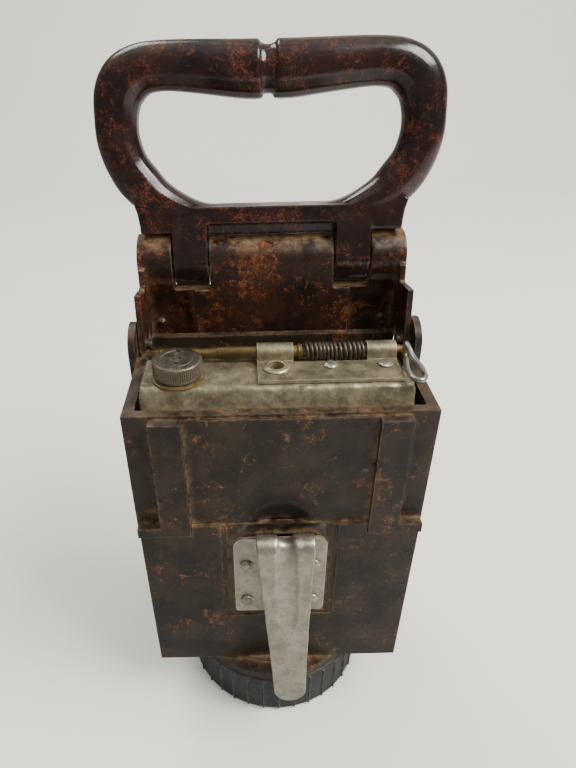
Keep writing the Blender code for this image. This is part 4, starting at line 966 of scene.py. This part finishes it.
def base():
    low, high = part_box("base_cap")
    radius = (high.x - low.x) / 2
    inner, floor = 34.4 * MM, 5 * MM
    profile = [(0, 0), (36.5 * MM, 0), (radius - 1.6 * MM, 0.5 * MM), (radius - 0.9 * MM, 1.4 * MM),
               (radius - 0.9 * MM, high.z - 1.0 * MM), (radius - 1.3 * MM, high.z - 0.3 * MM),
               (radius - 1.9 * MM, high.z), (inner + 0.6 * MM, high.z), (inner, high.z - 0.6 * MM),
               (inner, floor), (0, floor)]
    cap = turned(profile, Matrix.Identity(4), 180)
    ribs = []
    for i in range(36):
        angle = 2 * math.pi * (i + 0.05) / 36
        flank = [(radius - depth * MM, -half * MM) for depth, half in ((1.6, 0.7), (0.6, 0.45), (0.2, 0.15))]
        rib = prism(flank + [(x, -y) for x, y in reversed(flank)], 2, 0.9 * MM, high.z - 0.7 * MM)
        for vertex in rib.data.vertices:
            if vertex.co.x > radius - 1.2 * MM:
                vertex.co.z += 0.5 * MM if vertex.co.z < 5 * MM else -0.5 * MM
        rib.data.transform(Matrix.Rotation(angle, 4, "Z"))
        ribs.append(rib)
    whole = fused(cap, *ribs)
    whole.data.set_sharp_from_angle(angle=math.radians(28))
    fine("base_cap", whole)

    for node, inner in (("base_gasket", 25.4), ("generator_gasket", 24.6)):
        low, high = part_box(node)
        profile = soft_ring(inner * MM, (high.x - low.x) / 2, low.z, high.z, 0.4 * MM)
        fine(node, turned(profile, Matrix.Identity(4), 96))

    low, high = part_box("container_spring")
    foot, rise = low.z + MM, high.z - low.z - 2 * MM
    path = [(15 * MM * math.cos(a), 15 * MM * math.sin(a), foot + rise * a / (6 * math.pi))
            for a in np.linspace(0, 6 * math.pi, 145)]
    fine("container_spring", wire(path, MM, 14))

    low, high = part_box("carbide_container")
    outer, wall = (high.x - low.x) / 2, 0.8 * MM
    profile = [(0, low.z + 0.5 * MM), (outer - 2 * MM, low.z + 0.5 * MM), (outer - 1.4 * MM, low.z),
               (outer - 0.4 * MM, low.z + 0.3 * MM), (outer, low.z + MM), (outer, high.z - 0.4 * MM),
               (outer - 0.3 * MM, high.z), (outer - wall, high.z - 0.3 * MM),
               (outer - wall, low.z + 1.4 * MM), (0, low.z + 1.3 * MM)]
    fine("carbide_container", turned(profile, Matrix.Identity(4), 96))
    fine("container_cover", softened(copy_of("container_cover"), 0.15 * MM, 2))

    for node in ("drip_tube", "gas_pipe"):
        low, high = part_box(node)
        middle, outer = (low + high) / 2, (high.x - low.x) / 2
        profile = soft_ring(outer - 0.8 * MM, outer, low.z, high.z, 0.2 * MM)
        fine(node, turned(profile, upright(middle.x, middle.y), 40))
    for node, width in (("burner_socket", 0.25), ("burner_tip", 0.3), ("reflector", 0.15)):
        fine(node, softened(copy_of(node), width * MM, 3))


def light_side():
    """Window door, its pane and retainer, the flap and the turn button, with their edges broken."""
    for node, width in (("window_door", 0.7), ("glass_retainer", 0.15), ("window_glass", 0.15),
                        ("door_hinge_pin", 0.25), ("latch_keeper", 0.35), ("door_latch", 0.3),
                        ("flap_pin", 0.2), ("blackout_flap", 0.2)):
        fine(node, softened(copy_of(node), width * MM, 3))


housing()
lid()
handle()
tank()
bracket()
latch()
valve()
belt_hook()
base()
light_side()

for node, thing in frame["nodes"].items():
    thing.data.materials.clear()
    thing.data.materials.append(LOOKS[SLOT_OF[node]])


# ---------------------------------------------------------------- stage, light and camera

def stage():
    """Pale floor that curves up into a wall behind. In reflections it is darker, most of all on the left."""
    bm = bmesh.new()
    profile = [(-2.0, 0.0), (0.9, 0.0)]
    profile += [(0.9 + 0.5 * math.sin(a), 0.5 - 0.5 * math.cos(a)) for a in np.linspace(0.1, math.pi / 2, 12)]
    profile += [(1.4, 3.0)]
    rows = []
    for y, z in profile:
        rows.append([bm.verts.new((x, y, z)) for x in (-3.0, 3.0)])
    for near, far in zip(rows, rows[1:]):
        bm.faces.new((near[0], near[1], far[1], far[0]))
    floor = from_bmesh(bm)
    floor.name = "stage_floor"
    look = Look("pale_board")
    shade = look.mix(look.noise(160.0, 3.0), (0.79, 0.785, 0.72), (0.83, 0.825, 0.765))
    reflected = look.steps(look.along(0), -260.0, 300.0, 0.16, 0.56)
    seen_in_shine = look.node("ShaderNodeLightPath").outputs["Is Glossy Ray"]
    dimmed = look.node("ShaderNodeCombineColor")
    for channel in dimmed.inputs:
        look.feed(channel, reflected)
    floor.data.materials.append(look.done(look.mix(seen_in_shine, shade, dimmed.outputs[0]), 0.85))


def area_light(name, place, target, size, power, colour):
    lamp = bpy.data.lights.new(name, "AREA")
    lamp.shape = "RECTANGLE"
    lamp.size, lamp.size_y = size
    lamp.energy = power
    lamp.color = colour
    holder = bpy.data.objects.new(name, lamp)
    bpy.context.scene.collection.objects.link(holder)
    holder.location = place
    holder.rotation_euler = (Vector(target) - Vector(place)).to_track_quat("-Z", "Y").to_euler()


def lights():
    """Key light from the right, a weaker one from behind on the left."""
    area_light("window", (0.80, -0.30, 1.15), (0, 0, 0.12), (0.8, 0.6), 30.0, (1.0, 0.985, 0.96))
    area_light("far_window", (-0.45, 0.65, 1.15), (0, 0, 0.15), (0.6, 0.4), 7.0, (0.97, 0.985, 1.0))


def room():
    """Even pale light all round; in reflections the room is darker, and darkest low down."""
    world = bpy.data.worlds.new("room")
    world.use_nodes = True
    tree = world.node_tree
    sky = tree.nodes["Background"]
    sky.inputs["Color"].default_value = (0.96, 0.955, 0.90, 1)
    sky.inputs["Strength"].default_value = 1.03
    mirrored = tree.nodes.new("ShaderNodeBackground")
    place = tree.nodes.new("ShaderNodeTexCoord")
    parts = tree.nodes.new("ShaderNodeSeparateXYZ")
    ramp = tree.nodes.new("ShaderNodeValToRGB")
    stops = [(0.0, 0.08), (0.50, 0.12), (0.64, 0.17), (0.78, 0.28), (0.90, 0.42), (1.0, 0.4)]
    for where, shade in stops:
        stop = ramp.color_ramp.elements.new(where)
        stop.color = (shade, shade, shade * 0.97, 1)
    half_way = tree.nodes.new("ShaderNodeMapRange")
    half_way.inputs["From Min"].default_value = -1.0
    ray = tree.nodes.new("ShaderNodeLightPath")
    blend = tree.nodes.new("ShaderNodeMixShader")
    for output, target in ((place.outputs["Generated"], parts.inputs[0]),
                           (parts.outputs[2], half_way.inputs["Value"]),
                           (half_way.outputs[0], ramp.inputs[0]),
                           (ramp.outputs[0], mirrored.inputs["Color"]),
                           (ray.outputs["Is Glossy Ray"], blend.inputs[0]),
                           (sky.outputs[0], blend.inputs[1]),
                           (mirrored.outputs[0], blend.inputs[2]),
                           (blend.outputs[0], tree.nodes["World Output"].inputs["Surface"])):
        tree.links.new(output, target)
    bpy.context.scene.world = world


CAMERA_PLACE = Vector((-10.8, -182.3, 261.1)) * MM
CAMERA_YAW = math.radians(-0.1)
CAMERA_DOWN = math.radians(32.51)
CAMERA_ROLL = math.radians(1.34)
CAMERA_LENS = 27.07
CAMERA_SHIFT = (0.0546, 0.0099)


def camera():
    """Camera above and in front of the lamp, looking down at it."""
    yaw, down, roll = CAMERA_YAW, CAMERA_DOWN, CAMERA_ROLL
    ahead = Vector((math.sin(yaw) * math.cos(down), math.cos(yaw) * math.cos(down), -math.sin(down)))
    right = Vector((math.cos(yaw), -math.sin(yaw), 0))
    lower = ahead.cross(right)
    right, lower = (right * math.cos(roll) + lower * math.sin(roll),
                    lower * math.cos(roll) - right * math.sin(roll))
    shot = bpy.data.objects.new("camera", bpy.data.cameras.new("camera"))
    bpy.context.scene.collection.objects.link(shot)
    shot.data.sensor_width = 36
    shot.data.lens = CAMERA_LENS
    shot.data.shift_x, shot.data.shift_y = CAMERA_SHIFT
    shot.data.clip_start = 0.01
    axes = Matrix((right, -lower, -ahead)).transposed().to_4x4()
    shot.matrix_world = Matrix.Translation(CAMERA_PLACE) @ axes
    bpy.context.scene.camera = shot


stage()
lights()
room()
camera()
